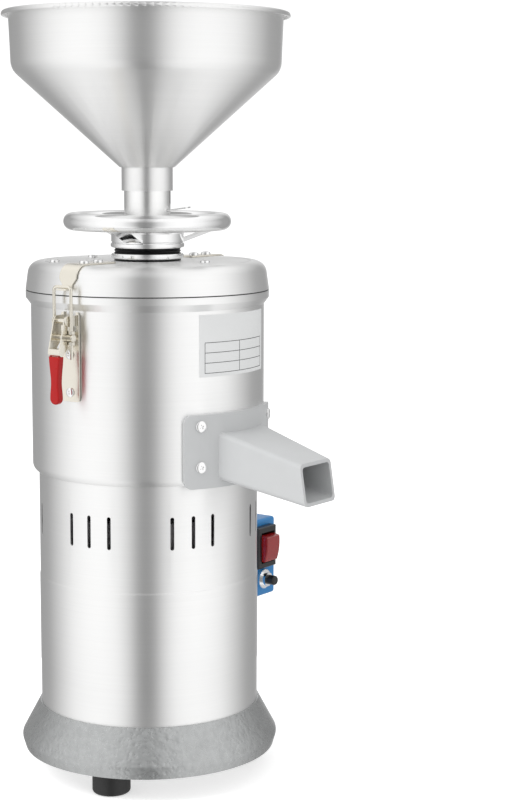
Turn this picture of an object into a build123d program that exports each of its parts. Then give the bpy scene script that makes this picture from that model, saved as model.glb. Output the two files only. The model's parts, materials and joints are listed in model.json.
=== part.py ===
"""Peanut butter machine: an upright nut grinder with its motor in the lower body.

Millimetres, +Z up, origin on the axis at the bottom of the feet. The spout points along +X,
the draw latches sit at -Y and +Y, and the switch box is on the +Y side below the second latch.
An azimuth is measured about Z, from -Y towards +X.
"""
from build123d import *
import math
import os

os.makedirs("parts", exist_ok=True)

# Clearances
running = 0.05
sliding = 0.2
loose = 0.35

# Feet and base casting
foot_radius = 16.7
foot_height = 22.0
foot_edge = 3.0
foot_inset = 31.5
foot_count = 3
foot_azimuth = 15.2
foot_screw_radius = 3.0
foot_screw_head_radius = 6.0
foot_screw_head_height = 4.0
foot_screw_recess = 6.0
foot_boss_radius = 12.0
base_height = 41.0
base_flare = 18.1
base_band_height = 10.0
base_band_draw = 3.0
base_shoulder = 6.0
base_wall = 6.0
base_rim = 1.4
deck_thickness = 6.0
deck_opening_radius = 48.0
cover_thickness = 1.5
cover_slot_count = 12
cover_slot_width = 5.0
cover_slot_length = 30.0
cover_slot_circle = 34.0

# Motor shell and upper shell
sheet = 1.5
motor_shell_radius = 97.4
band_step = 0.3
lower_band_height = 40.0
middle_band_height = 81.0
vent_band_height = 91.5
shell_seat = 3.0
vent_width = 3.4
vent_length = 28.5
vent_spacing = 11.2
vent_group_pitch = 54.6
vent_first_azimuth = -102.0
vent_groups = 5
vents_in_group = 3
vent_centre_height = 51.0
upper_step = 5.4
upper_height = 148.5
upper_corner = 8.0

# Grinding bowl
bowl_gap = 6.3
bowl_wall = 5.0
bowl_floor = 10.0
bowl_floor_drop = 11.0
bowl_ring_inner = 50.0
bowl_ring_outer = 60.0
bowl_ring_height = 24.0
lip_overhang = 4.4
lip_height = 12.0
lip_chamfer_height = 6.0
outlet_boss_wall = 1.5
seal_hub_wall = 7.0
seal_hub_height = 16.0
seal_wall = 10.0
seal_height = 10.0

# Lid, gasket and threaded neck
gasket_height = 1.0
gasket_recess = 0.6
lid_height = 24.5
lid_taper = 8.0
lid_shoulder = 11.0
lid_wall = 5.0
lid_rim_height = 8.0
lid_spigot_height = 4.0
lid_crease_inset = 16.2
lid_crease_width = 2.0
lid_crease_depth = 0.7
neck_wall = 3.3
neck_bore_gap = 5.6
neck_flange_radius = 74.0
neck_flange_thickness = 6.0
neck_height = 20.0
thread_depth = 1.2
thread_pitch = 2.4
thread_turns = 3
thread_start = 6.6
lock_ring_wall = 2.6
lock_ring_height = 4.4
lock_ring_lift = 1.9
lid_screw_circle = 63.5
side_screw_inset = 22.2
side_screw_azimuth = -31.4
lid_screw_head_radius = 4.2
lid_screw_head_height = 2.6
lid_screw_radius = 2.2

# Handwheel
hub_wall = 2.7
hub_lift = 11.5
hub_height = 13.5
hub_top_thickness = 4.0
hub_groove_height = 4.4
hub_groove_depth = 0.6
wheel_radius = 66.2
wheel_rim_radius = 7.6
wheel_rim_lift = 22.8
spoke_count = 3
spoke_azimuth = 16.5
spoke_width = 16.5
spoke_thickness = 3.0
spoke_root_height = 5.0
spoke_tip_drop = 6.3
spoke_tip_inset = 2.7

# Adjusting sleeve, feed tube and feed gate
sleeve_flange_thickness = 10.0
sleeve_neck_wall = 2.0
tube_radius = 20.4
tube_wall = 1.5
tube_above_hub = 55.0
tube_below_hub = 43.5
tube_collar_wall = 5.1
tube_collar_height = 2.5
tube_slot_width = 4.0
tube_slot_height = 30.5
gate_azimuth = 118.0
gate_lift = 32.6
gate_slope = 8.0
gate_width = 16.0
gate_thickness = 1.3
gate_overhang = 17.3

# Hopper
hopper_sheet = 1.2
hopper_collar_wall = 2.1
hopper_collar_drop = 19.0
cone_foot_flare = 3.6
cone_height = 84.0
hopper_radius = 119.0
hopper_taper = 1.8
hopper_wall_height = 49.2
hopper_corner = 15.0
hopper_rim_overhang = 6.0
hopper_bead = 2.4

# Spout
flange_half_angle = 34.9
flange_thickness = 4.2
flange_bottom = 1.5
flange_height = 63.0
flange_corner = 7.0
duct_root_width = 66.0
duct_root_height = 42.0
duct_root_lift = 7.4
duct_mouth_width = 46.0
duct_mouth_height = 36.3
duct_length = 79.0
duct_mouth_drop = 20.5
duct_mouth_lean = 9.0
duct_wall = 3.0
duct_corner = 4.5
spout_screw_angle = 26.8
spout_screw_low = 18.5
spout_screw_pitch = 34.9
spout_screw_head_radius = 5.0
spout_screw_head_height = 2.4
spout_screw_radius = 2.2

# Draw latches
latch_plate_width = 19.5
latch_plate_height = 76.0
latch_plate_lift = 71.5
latch_plate_thickness = 1.6
latch_plate_corner = 2.5
latch_window_width = 10.6
latch_window_height = 23.0
latch_window_drop = 3.0
latch_screw_low = 7.8
latch_screw_high = 40.0
latch_screw_head_radius = 4.0
latch_screw_head_height = 1.8
latch_screw_radius = 2.0
pivot_drop = 7.0
pivot_reach = 11.2
pivot_radius = 2.0
ear_thickness = 1.0
ear_radius = 4.5
arm_gap = 10.4
arm_thickness = 1.2
arm_edge = 1.1
barrel_drop = 14.0
barrel_inset = 0.8
barrel_radius = 3.2
barrel_overhang = 5.7
bail_width = 18.7
bail_wire = 1.4
bail_leg_drop = 18.0
bail_corner = 3.4
bail_nut_flat = 5.0
bail_nut_height = 2.8
handle_drop = 26.0
grip_drop = 29.2
handle_end_radius = 3.2
handle_outset = 8.0
handle_tongue_width = 7.0
handle_tongue_thickness = 2.4
handle_tongue_length = 33.0
grip_length = 40.4
grip_width = 12.5
grip_waist = 8.6
grip_end_width = 10.4
grip_thickness = 6.5
grip_edge = 1.8
strap_thickness = 1.4
strap_width = 18.5
strap_inner_radius = 53.0
strap_gap = 0.1
hook_width = 11.0
hook_taper_height = 5.0
hook_lift = 5.9
hook_bend = 0.8
hook_margin = 0.4
bail_gap = 0.3
strap_screw_circle = 67.0
strap_screw_pitch = 18.0

# Switch box
box_width = 80.0
box_head = 6.0
box_lift = 77.0
box_depth = 43.3
box_nest = 12.7
box_wall = 3.4
box_corner = 3.0
box_cover_thickness = 2.5
box_post_radius = 5.0
box_post_inset = 8.0
box_post_depth = 8.0
box_screw_radius = 1.8
box_screw_head_radius = 3.4
box_screw_head_height = 1.6
box_screw_length = 9.0
switch_inset = 23.0
switch_gap = 2.7
bezel_side = 2.0
bezel_end = 2.5
bezel_depth = 8.0
bezel_edge = 2.0
housing_width = 24.0
housing_height = 34.0
housing_depth = 18.0
rocker_side = 2.2
rocker_end = 4.5
rocker_depth = 9.0
rocker_pivot_depth = 6.0
rocker_pivot_radius = 1.2
rocker_tilt = 7.0
reset_inset = 21.0
reset_margin = 7.7
reset_nut_wall = 2.9
reset_nut_height = 3.2
reset_nut_teeth = 24
reset_bush_wall = 1.9
reset_bush_height = 7.5
reset_plunger_radius = 4.5
reset_plunger_height = 16.0
reset_inner_depth = 14.0
breaker_body_width = 20.0
breaker_body_height = 22.0
breaker_body_depth = 26.0
gland_x = -15.0
gland_inset = 23.0
gland_hex = 18.0
gland_hex_height = 6.0
gland_dome_radius = 8.0
gland_dome_height = 10.0
gland_bore_radius = 4.0
gland_thread_radius = 7.8
gland_thread_length = 6.0

# Motor
bearing_bore_radius = 10.0
bearing_width = 14.0
bearing_wall = 13.5
shaft_fan_step = 1.5
shaft_core_step = 4.0
shaft_rotor_step = 1.0
shaft_thread_step = 2.0
shield_foot_height = 24.0
shield_plate = 8.0
shield_hub_wall = 7.5
shield_hub_lift = 3.0
shield_gap = 6.6
shield_rim_wall = 13.0
shield_bolt_inset = 6.5
shield_foot_radius = 8.0
shield_bolt_azimuth = 60.2
shield_bolt_count = 4
shield_vent_radius = 9.0
shield_vent_circle = 56.0
shield_vent_count = 8
core_inset = 10.0
core_bore_radius = 45.2
core_height = 80.0
core_seat = 4.0
core_slot_count = 24
core_slot_width = 5.0
core_slot_depth = 16.0
core_slot_mouth = 1.0
winding_inner_radius = 52.0
winding_gap = 3.0
winding_height = 17.0
winding_corner = 6.0
rotor_core_gap = 0.6
rotor_end_ring = 5.0
rotor_bar_count = 16
motor_bolt_radius = 2.5
motor_bolt_head_radius = 4.6
motor_bolt_head_height = 4.0
fan_lift = 3.0
fan_height = 17.0
fan_radius = 58.0
fan_hub_wall = 7.5
fan_disc = 2.0
fan_blade_thickness = 1.6
fan_blade_count = 8
capacitor_radius = 14.5
capacitor_length = 58.0
capacitor_circle = 60.0
capacitor_azimuth = 75.2
cradle_rib = 4.0
cradle_spacing = 30.0

# Grinding parts
impeller_gap = 1.0
impeller_hub_wall = 13.0
impeller_disc = 4.0
impeller_overhang = 10.0
impeller_hub_height = 12.0
blade_count = 4
blade_thickness = 5.0
blade_height = 22.0
blade_seal_gap = 5.0
blade_tip_gap = 3.0
rotor_height = 64.0
rotor_bottom_radius = 50.0
rotor_top_radius = 33.0
rotor_foot = 8.0
grinding_gap = 0.5
coarse_teeth = 12
coarse_height = 26.0
coarse_width = 7.0
coarse_depth = 6.0
coarse_lean = 24.0
fine_teeth = 30
fine_width = 3.2
fine_depth = 2.4
fine_lean = 16.0
stator_wall = 13.0
stator_ring_rise = 6.0
nut_radius = 15.0
nut_height = 16.0

# Radii worked out from the sizes above, each from the piece that it fits
middle_radius = motor_shell_radius + band_step
vent_band_radius = motor_shell_radius - band_step / 2
shell_inner_radius = motor_shell_radius - sheet - band_step
base_radius = motor_shell_radius + base_flare
foot_circle = base_radius - foot_inset
upper_radius = motor_shell_radius + upper_step
upper_inner = upper_radius - sheet
bowl_outer = upper_inner - bowl_gap
bowl_radius = bowl_outer - bowl_wall
lip_radius = upper_radius + lip_overhang
lid_crease_radius = lip_radius - lid_crease_inset
side_screw_circle = lip_radius - side_screw_inset
sleeve_neck_radius = tube_radius + sleeve_neck_wall
tube_collar_radius = tube_radius + tube_collar_wall
neck_bore_radius = tube_radius + neck_bore_gap
neck_radius = neck_bore_radius + neck_wall
lock_ring_radius = neck_radius + lock_ring_wall
hub_radius = neck_radius + hub_wall
spoke_tip_radius = wheel_radius - spoke_tip_inset
gate_reach = tube_radius + gate_overhang
hopper_collar_radius = tube_radius + hopper_collar_wall
cone_foot_radius = tube_radius + cone_foot_flare
hopper_rim_radius = hopper_radius + hopper_rim_overhang
duct_mouth_reach = upper_radius + duct_length
arm_radius = barrel_radius + arm_edge
barrel_length = bail_width + barrel_overhang
bearing_radius = bearing_bore_radius + bearing_wall
shaft_fan_radius = bearing_bore_radius - shaft_fan_step
shaft_core_radius = bearing_bore_radius + shaft_core_step
shaft_seal_radius = bearing_bore_radius
shaft_rotor_radius = shaft_seal_radius - shaft_rotor_step
shaft_thread_radius = shaft_rotor_radius - shaft_thread_step
seal_radius = shaft_seal_radius + seal_wall
seal_hub_radius = seal_radius + seal_hub_wall
shield_hub_radius = bearing_radius + shield_hub_wall
shield_rim_radius = shell_inner_radius - shield_gap
shield_rim_inner = shield_rim_radius - shield_rim_wall
shield_bolt_circle = shield_rim_radius - shield_bolt_inset
core_radius = shield_rim_radius - core_inset
winding_outer_radius = shield_rim_inner - winding_gap
fan_hub_radius = shaft_fan_radius + fan_hub_wall
impeller_hub_radius = shaft_rotor_radius + impeller_hub_wall
impeller_disc_radius = rotor_bottom_radius + impeller_overhang
blade_inner_radius = seal_hub_radius + blade_seal_gap
stator_ring_radius = rotor_bottom_radius + stator_wall

# The switch box is as high as its switches need, one above the other
box_face = middle_radius + box_depth
box_back = middle_radius - box_nest
bezel_width = housing_width + 2 * bezel_side
bezel_height = housing_height + 2 * bezel_end
rocker_width = housing_width - 2 * rocker_side
rocker_height = housing_height - 2 * rocker_end
reset_bush_radius = reset_plunger_radius + reset_bush_wall
reset_nut_radius = reset_bush_radius + reset_nut_wall
reset_lift = reset_margin + reset_nut_radius
rocker_centre_lift = reset_lift + reset_nut_radius + switch_gap + bezel_height / 2
box_height = rocker_centre_lift + bezel_height / 2 + box_head
rocker_centre_y = box_face - switch_inset
reset_y = box_face - reset_inset
gland_y = box_face - gland_inset

# Heights worked out from the sizes above, from the floor up
base_bottom = foot_height
base_top = base_bottom + base_height
shell_bottom = base_top - shell_seat
deck_top = shell_bottom
deck_bottom = deck_top - deck_thickness
shell_top = shell_bottom + lower_band_height + middle_band_height + vent_band_height + sheet
step_height = shell_top - sheet
upper_top = step_height + upper_height
lip_top = upper_top + lip_height
lid_bottom = lip_top + gasket_height
lid_top = lid_bottom + lid_height
lid_inside = lid_top - lid_wall
bowl_seat = shell_top
bowl_bottom = bowl_seat - bowl_floor_drop
bowl_inside = bowl_bottom + bowl_floor
shield_bottom = deck_top + shield_foot_height
core_bottom = shield_bottom + shield_plate + winding_height + shield_hub_lift + core_seat
core_top = core_bottom + core_height
shield_top = bowl_bottom - bowl_ring_height
bearing_low = shield_bottom
bearing_high = shield_top - bearing_width
impeller_seat = bowl_inside + seal_hub_height + impeller_gap
impeller_top = impeller_seat + impeller_hub_height
rotor_top = impeller_top + rotor_height
stator_bottom = impeller_top + rotor_foot
stator_top = rotor_top + stator_ring_rise
neck_top = lid_top + neck_height
hub_bottom = lid_top + hub_lift
hub_top = hub_bottom + hub_height
tube_bottom = hub_top - tube_below_hub
tube_top = hub_top + tube_above_hub
wheel_centre = hub_bottom + wheel_rim_lift
hopper_seat = tube_top
cone_foot = hopper_seat + hopper_sheet
cone_top = cone_foot + cone_height
hopper_top = cone_top + hopper_wall_height
spout_bottom = step_height - flange_bottom
box_low = shell_bottom + box_lift
latch_low = step_height + latch_plate_lift
pivot_height = latch_low + latch_plate_height - pivot_drop
pivot_radius_place = upper_radius + pivot_reach
barrel_height = pivot_height - barrel_drop
barrel_place = pivot_radius_place - barrel_inset
cone_slope = (rotor_bottom_radius - rotor_top_radius) / (rotor_height - rotor_foot)
cone_angle = math.degrees(math.atan(cone_slope))


def radial_plane(azimuth, radius, height):
    """A plane facing outwards at an azimuth, with its own y axis upwards."""
    turn = math.radians(azimuth)
    outward = (math.sin(turn), -math.cos(turn), 0)
    along = (math.cos(turn), math.sin(turn), 0)
    origin = (radius * outward[0], radius * outward[1], height)
    return Plane(origin=origin, x_dir=along, z_dir=outward)


def level_place(azimuth, radius, height):
    """A place at an azimuth, turned so that its own x axis points outwards."""
    turn = math.radians(azimuth)
    return Location((radius * math.sin(turn), -radius * math.cos(turn), height), (0, 0, azimuth - 90))


def save(solid, name):
    """Label a finished piece and write it to its own file."""
    solid.label = name
    export_step(solid, f"parts/{name}.step")


foot_places = [level_place(foot_azimuth + k * 360 / foot_count, foot_circle, 0) for k in range(foot_count)]
bolt_places = [
    level_place(shield_bolt_azimuth + k * 360 / shield_bolt_count, shield_bolt_circle, 0)
    for k in range(shield_bolt_count)
]

# Rubber feet and the screws that hold them
with BuildPart() as rubber_feet:
    with Locations(*foot_places):
        Cylinder(foot_radius, foot_height, align=(Align.CENTER, Align.CENTER, Align.MIN))
    bottom_edges = rubber_feet.edges().filter_by(GeomType.CIRCLE).group_by(Axis.Z)[0]
    fillet(bottom_edges, foot_edge)
    top_edges = rubber_feet.edges().filter_by(GeomType.CIRCLE).group_by(Axis.Z)[-1]
    chamfer(top_edges, 1.0)
    with Locations(*foot_places):
        Cylinder(foot_screw_head_radius + sliding, foot_screw_recess + foot_screw_head_height,
                 align=(Align.CENTER, Align.CENTER, Align.MIN), mode=Mode.SUBTRACT)
        Cylinder(foot_screw_radius + sliding, foot_height, align=(Align.CENTER, Align.CENTER, Align.MIN),
                 mode=Mode.SUBTRACT)
save(rubber_feet.part, "rubber_feet")

foot_screw_top = deck_bottom - deck_thickness
with BuildPart() as foot_screws:
    for place in foot_places:
        with Locations(place * Pos(0, 0, foot_screw_recess)):
            Cylinder(foot_screw_head_radius, foot_screw_head_height,
                     align=(Align.CENTER, Align.CENTER, Align.MIN))
            Cylinder(foot_screw_radius, foot_screw_top - foot_screw_recess,
                     align=(Align.CENTER, Align.CENTER, Align.MIN))
        with Locations(place * Pos(0, 0, foot_screw_recess)):
            Box(8, 1.2, 2.4, mode=Mode.SUBTRACT)
save(foot_screws.part, "foot_screws")

# Base casting: a flared skirt with a deck for the motor and bosses for the feet
base_top_radius = motor_shell_radius + running + base_rim
with BuildPart() as base_casting:
    with BuildSketch(Plane.XZ):
        with BuildLine():
            skirt = FilletPolyline(
                (base_radius - base_band_draw, base_bottom),
                (base_radius, base_bottom + base_band_height),
                (base_top_radius, base_top),
                radius=base_shoulder,
            )
            Polyline(
                skirt @ 1,
                (motor_shell_radius + running, base_top),
                (motor_shell_radius + running, deck_top),
                (deck_opening_radius, deck_top),
                (deck_opening_radius, deck_bottom),
                (base_top_radius - base_wall, deck_bottom),
                (base_radius - base_band_draw - base_wall, base_bottom + base_band_height),
                (base_radius - base_band_draw - base_wall, base_bottom),
                skirt @ 0,
            )
        make_face()
    revolve(axis=Axis.Z)
    with Locations(*[p * Pos(0, 0, base_bottom + cover_thickness) for p in foot_places]):
        Cylinder(foot_boss_radius, deck_bottom - base_bottom - cover_thickness,
                 align=(Align.CENTER, Align.CENTER, Align.MIN))
    cradle_centre = deck_bottom - capacitor_radius - sliding
    cradle = level_place(capacitor_azimuth, capacitor_circle, deck_bottom)
    with Locations(cradle * Pos(0, -cradle_spacing / 2, 0), cradle * Pos(0, cradle_spacing / 2, 0)):
        Box(2 * capacitor_radius, cradle_rib, capacitor_radius * 0.8,
            align=(Align.CENTER, Align.CENTER, Align.MAX))
    with Locations(level_place(capacitor_azimuth, capacitor_circle, cradle_centre)):
        Cylinder(capacitor_radius + sliding, capacitor_length, rotation=(90, 0, 0), mode=Mode.SUBTRACT)
    with Locations(*foot_places):
        Cylinder(foot_screw_radius + running, foot_screw_top + running,
                 align=(Align.CENTER, Align.CENTER, Align.MIN), mode=Mode.SUBTRACT)
    with Locations(*[p * Pos(0, 0, deck_bottom) for p in bolt_places]):
        Cylinder(motor_bolt_radius + sliding, deck_thickness,
                 align=(Align.CENTER, Align.CENTER, Align.MIN), mode=Mode.SUBTRACT)
save(base_casting.part, "base_casting")

# Bottom cover: a sheet inside the skirt, clamped by the feet, with air slots
cover_radius = base_radius - base_band_draw - base_wall - sliding
with BuildPart() as bottom_cover:
    with BuildSketch(Plane.XY.offset(base_bottom)):
        Circle(cover_radius)
        with Locations(*[Location((p.position.X, p.position.Y, 0)) for p in foot_places]):
            Circle(foot_screw_radius + sliding, mode=Mode.SUBTRACT)
        with PolarLocations(cover_slot_circle, cover_slot_count):
            SlotOverall(cover_slot_length, cover_slot_width, mode=Mode.SUBTRACT)
    extrude(amount=cover_thickness)
save(bottom_cover.part, "bottom_cover")

# Run capacitor lying in its cradle under the deck
with BuildPart() as run_capacitor:
    with Locations(level_place(capacitor_azimuth, capacitor_circle, cradle_centre)):
        Cylinder(capacitor_radius, capacitor_length, rotation=(90, 0, 0))
    chamfer(run_capacitor.edges().filter_by(GeomType.CIRCLE), 1.0)
save(run_capacitor.part, "run_capacitor")

# Motor shell: a tube of three shallow bands with groups of upright air slots
with BuildPart() as motor_shell:
    with BuildSketch(Plane.XZ):
        with BuildLine():
            z1 = shell_bottom + lower_band_height
            z2 = z1 + middle_band_height
            Polyline(
                (shell_inner_radius, shell_bottom),
                (motor_shell_radius, shell_bottom),
                (motor_shell_radius, z1),
                (middle_radius, z1 + 1.5),
                (middle_radius, z2 - 1.5),
                (vent_band_radius, z2),
                (vent_band_radius, shell_top),
                (shell_inner_radius, shell_top),
                close=True,
            )
        make_face()
    revolve(axis=Axis.Z)
    vent_height = z2 + vent_centre_height
    for group in range(vent_groups):
        for vent in range(vents_in_group):
            offset_in_group = (vent - (vents_in_group - 1) / 2) * vent_spacing
            azimuth = vent_first_azimuth + group * vent_group_pitch + offset_in_group
            with BuildSketch(radial_plane(azimuth, shell_inner_radius - 5, vent_height)):
                SlotOverall(vent_length, vent_width, rotation=90)
            extrude(amount=10, mode=Mode.SUBTRACT)
save(motor_shell.part, "motor_shell")

# Upper shell: a wider tube whose lower edge is rounded in to the motor shell
opening_width = duct_root_width - 2 * duct_wall - 2.0
opening_height = duct_root_height - 2 * duct_wall - 1.0
opening_centre = spout_bottom + duct_root_lift + duct_root_height / 2
latch_screw_heights = (latch_low + latch_screw_low, latch_low + latch_screw_high)
spout_screw_places = [
    (90 + side * spout_screw_angle, spout_bottom + spout_screw_low + row * spout_screw_pitch)
    for side in (-1, 1) for row in (0, 1)
]
with BuildPart() as upper_shell:
    with BuildSketch(Plane.XZ):
        with BuildLine():
            centre = Vector(upper_radius - upper_corner, step_height + upper_corner)
            inner_edge = vent_band_radius + running
            outer_dip = math.sqrt(upper_corner**2 - (inner_edge - centre.X) ** 2)
            inner_arc = upper_corner - sheet
            inner_dip = math.sqrt(inner_arc**2 - (inner_edge - centre.X) ** 2)
            low_out = (inner_edge, centre.Y - outer_dip)
            low_in = (inner_edge, centre.Y - inner_dip)
            Line(low_in, low_out)
            RadiusArc(low_out, (upper_radius, centre.Y), -upper_corner)
            Polyline((upper_radius, centre.Y), (upper_radius, upper_top), (upper_inner, upper_top),
                     (upper_inner, centre.Y))
            RadiusArc((upper_inner, centre.Y), low_in, inner_arc)
        make_face()
    revolve(axis=Axis.Z)
    with BuildSketch(Plane.YZ.offset(upper_inner - 25)):
        with Locations((0, opening_centre)):
            RectangleRounded(opening_width, opening_height, duct_corner)
    extrude(amount=40, mode=Mode.SUBTRACT)
    for azimuth, height in spout_screw_places:
        with BuildSketch(radial_plane(azimuth, upper_inner - 3, height)):
            Circle(spout_screw_radius + sliding)
        extrude(amount=10, mode=Mode.SUBTRACT)
    for azimuth in (0, 180):
        for height in latch_screw_heights:
            with BuildSketch(radial_plane(azimuth, upper_inner - 3, height)):
                Circle(latch_screw_radius + sliding)
            extrude(amount=10, mode=Mode.SUBTRACT)
save(upper_shell.part, "upper_shell")

# Grinding bowl: a cast cup that seats on the motor shell, with the lip ring on its top edge
spigot_radius = shell_inner_radius - sliding
shoulder_radius = upper_inner - sliding
with BuildPart() as outlet_boss:
    with BuildSketch(Plane.YZ.offset(bowl_outer - 12)):
        with Locations((0, opening_centre)):
            RectangleRounded(opening_width + 2 * outlet_boss_wall, opening_height + 2 * outlet_boss_wall,
                             duct_corner + outlet_boss_wall)
    extrude(amount=25)
    Cylinder(shoulder_radius, 2 * hopper_top, mode=Mode.INTERSECT)
    Cylinder(bowl_outer - 1, 2 * hopper_top, mode=Mode.SUBTRACT)

with BuildPart() as grinding_bowl:
    with BuildSketch(Plane.XZ):
        with BuildLine():
            Polyline(
                (shaft_seal_radius + 1, bowl_bottom),
                (bowl_ring_inner, bowl_bottom),
                (bowl_ring_inner, shield_top),
                (bowl_ring_outer, shield_top),
                (bowl_ring_outer, bowl_bottom),
                (spigot_radius, bowl_bottom),
                (spigot_radius, bowl_seat),
                (vent_band_radius - 0.6, bowl_seat),
                (vent_band_radius - 0.2, bowl_seat + 1.2),
                (shoulder_radius, bowl_seat + upper_corner),
                (shoulder_radius, bowl_seat + upper_corner + 6),
                (bowl_outer, bowl_seat + upper_corner + 10),
                (bowl_outer, upper_top),
                (upper_radius, upper_top),
                (lip_radius, upper_top + lip_chamfer_height),
                (lip_radius, lip_top),
                (bowl_radius, lip_top),
                (bowl_radius, bowl_inside + 6),
                (bowl_radius - 6, bowl_inside),
                (seal_hub_radius, bowl_inside),
                (seal_hub_radius - 2, bowl_inside + seal_hub_height),
                (seal_radius, bowl_inside + seal_hub_height),
                (seal_radius, bowl_inside + seal_hub_height - seal_height),
                (shaft_seal_radius + 1, bowl_inside + seal_hub_height - seal_height),
                close=True,
            )
        make_face()
    revolve(axis=Axis.Z)
    add(outlet_boss.part)
    with BuildSketch(Plane.YZ.offset(bowl_radius - 25)):
        with Locations((0, opening_centre)):
            RectangleRounded(opening_width, opening_height, duct_corner)
    extrude(amount=40, mode=Mode.SUBTRACT)
save(grinding_bowl.part, "grinding_bowl")

# Shaft seal in the hub of the bowl
with BuildPart() as shaft_seal:
    with Locations((0, 0, bowl_inside + seal_hub_height - seal_height)):
        Cylinder(seal_radius, seal_height, align=(Align.CENTER, Align.CENTER, Align.MIN))
        Cylinder(shaft_seal_radius + running, seal_height, align=(Align.CENTER, Align.CENTER, Align.MIN),
                 mode=Mode.SUBTRACT)
    chamfer(shaft_seal.edges().filter_by(GeomType.CIRCLE).group_by(Axis.Z)[-1], 1.0)
save(shaft_seal.part, "shaft_seal")

# Lid gasket
with BuildPart() as lid_gasket:
    with BuildSketch(Plane.XY.offset(lip_top)):
        Circle(lip_radius - gasket_recess)
        Circle(bowl_radius + sliding, mode=Mode.SUBTRACT)
    extrude(amount=gasket_height)
save(lid_gasket.part, "lid_gasket")

# Lid: a cast cap with tapered side, rounded shoulder and a spigot into the bowl
taper = math.tan(math.radians(lid_taper))
lid_corner_radius = lip_radius - lid_height * taper
with BuildPart() as lid:
    with BuildSketch(Plane.XZ):
        with BuildLine():
            side = FilletPolyline(
                (lip_radius, lid_bottom),
                (lid_corner_radius, lid_top),
                (lid_crease_radius, lid_top),
                radius=lid_shoulder,
            )
            Polyline(
                side @ 1,
                (lid_crease_radius - lid_crease_width / 2, lid_top - lid_crease_depth),
                (lid_crease_radius - lid_crease_width, lid_top),
                (neck_radius + running, lid_top),
                (neck_radius + running, lid_inside),
                (lid_corner_radius - lid_shoulder - lid_wall, lid_inside),
                (bowl_radius - lid_wall, lid_bottom + lid_rim_height),
                (bowl_radius - lid_wall, lid_bottom - lid_spigot_height),
                (bowl_radius - sliding, lid_bottom - lid_spigot_height),
                (bowl_radius - sliding, lid_bottom),
                side @ 0,
            )
        make_face()
    revolve(axis=Axis.Z)
    for azimuth, radius in [(90, lid_screw_circle), (-90, lid_screw_circle),
                            (side_screw_azimuth, side_screw_circle)]:
        with Locations(level_place(azimuth, radius, lid_top)):
            Hole(lid_screw_radius + sliding, lid_wall + 1)
    for azimuth in (0, 180):
        for k in (0, 1):
            with Locations(level_place(azimuth, strap_screw_circle + k * strap_screw_pitch, lid_top)):
                Hole(lid_screw_radius + sliding, lid_wall + 1)
save(lid.part, "lid")

# Threaded neck: a black bush with its flange bolted under the lid
with BuildPart() as threaded_neck:
    with BuildSketch(Plane.XZ):
        with BuildLine():
            thread = []
            for turn in range(thread_turns):
                root = lid_top + thread_start + turn * thread_pitch
                thread += [
                    (neck_radius, root),
                    (neck_radius - thread_depth, root + thread_pitch * 0.3),
                    (neck_radius - thread_depth, root + thread_pitch * 0.5),
                    (neck_radius, root + thread_pitch * 0.8),
                ]
            Polyline(
                (neck_bore_radius, lid_inside - neck_flange_thickness),
                (neck_flange_radius, lid_inside - neck_flange_thickness),
                (neck_flange_radius, lid_inside),
                (neck_radius, lid_inside),
                *thread,
                (neck_radius, neck_top - 1),
                (neck_radius - 1, neck_top),
                (neck_bore_radius, neck_top),
                close=True,
            )
        make_face()
    revolve(axis=Axis.Z)
    for azimuth in (0, 90, 180, 270):
        place_radius = lid_screw_circle if azimuth in (90, 270) else strap_screw_circle
        with Locations(level_place(azimuth, place_radius, lid_inside)):
            Hole(lid_screw_radius + running, neck_flange_thickness)
save(threaded_neck.part, "threaded_neck")

# Lock ring on the neck
with BuildPart() as lock_ring:
    with BuildSketch(Plane.XY.offset(lid_top + lock_ring_lift)):
        Circle(lock_ring_radius)
        Circle(neck_radius + running, mode=Mode.SUBTRACT)
    extrude(amount=lock_ring_height)
    outer = lock_ring.edges().filter_by(GeomType.CIRCLE).filter_by(lambda e: e.radius > neck_radius + 1)
    chamfer(outer, 0.7)
save(lock_ring.part, "lock_ring")

# Handwheel hub: threaded on the neck, its top plate carries the sleeve
with BuildPart() as handwheel_hub:
    with BuildSketch(Plane.XZ):
        with BuildLine():
            groove = hub_bottom + hub_groove_height
            Polyline(
                (neck_radius + running, hub_bottom),
                (hub_radius - 0.4, hub_bottom),
                (hub_radius + 0.5, hub_bottom + 0.9),
                (hub_radius + 0.5, groove - 0.8),
                (hub_radius - hub_groove_depth, groove - 0.4),
                (hub_radius - hub_groove_depth, groove + 0.4),
                (hub_radius, groove + 0.8),
                (hub_radius, hub_top - 1.2),
                (hub_radius - 1.2, hub_top),
                (sleeve_neck_radius + sliding, hub_top),
                (sleeve_neck_radius + sliding, hub_top - hub_top_thickness),
                (neck_radius + running, hub_top - hub_top_thickness),
                close=True,
            )
        make_face()
    revolve(axis=Axis.Z)
save(handwheel_hub.part, "handwheel_hub")

# Handwheel rim and its three flat spokes
with BuildPart() as handwheel_rim:
    with Locations((0, 0, wheel_centre)):
        Torus(wheel_radius, wheel_rim_radius)
save(handwheel_rim.part, "handwheel_rim")

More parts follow.
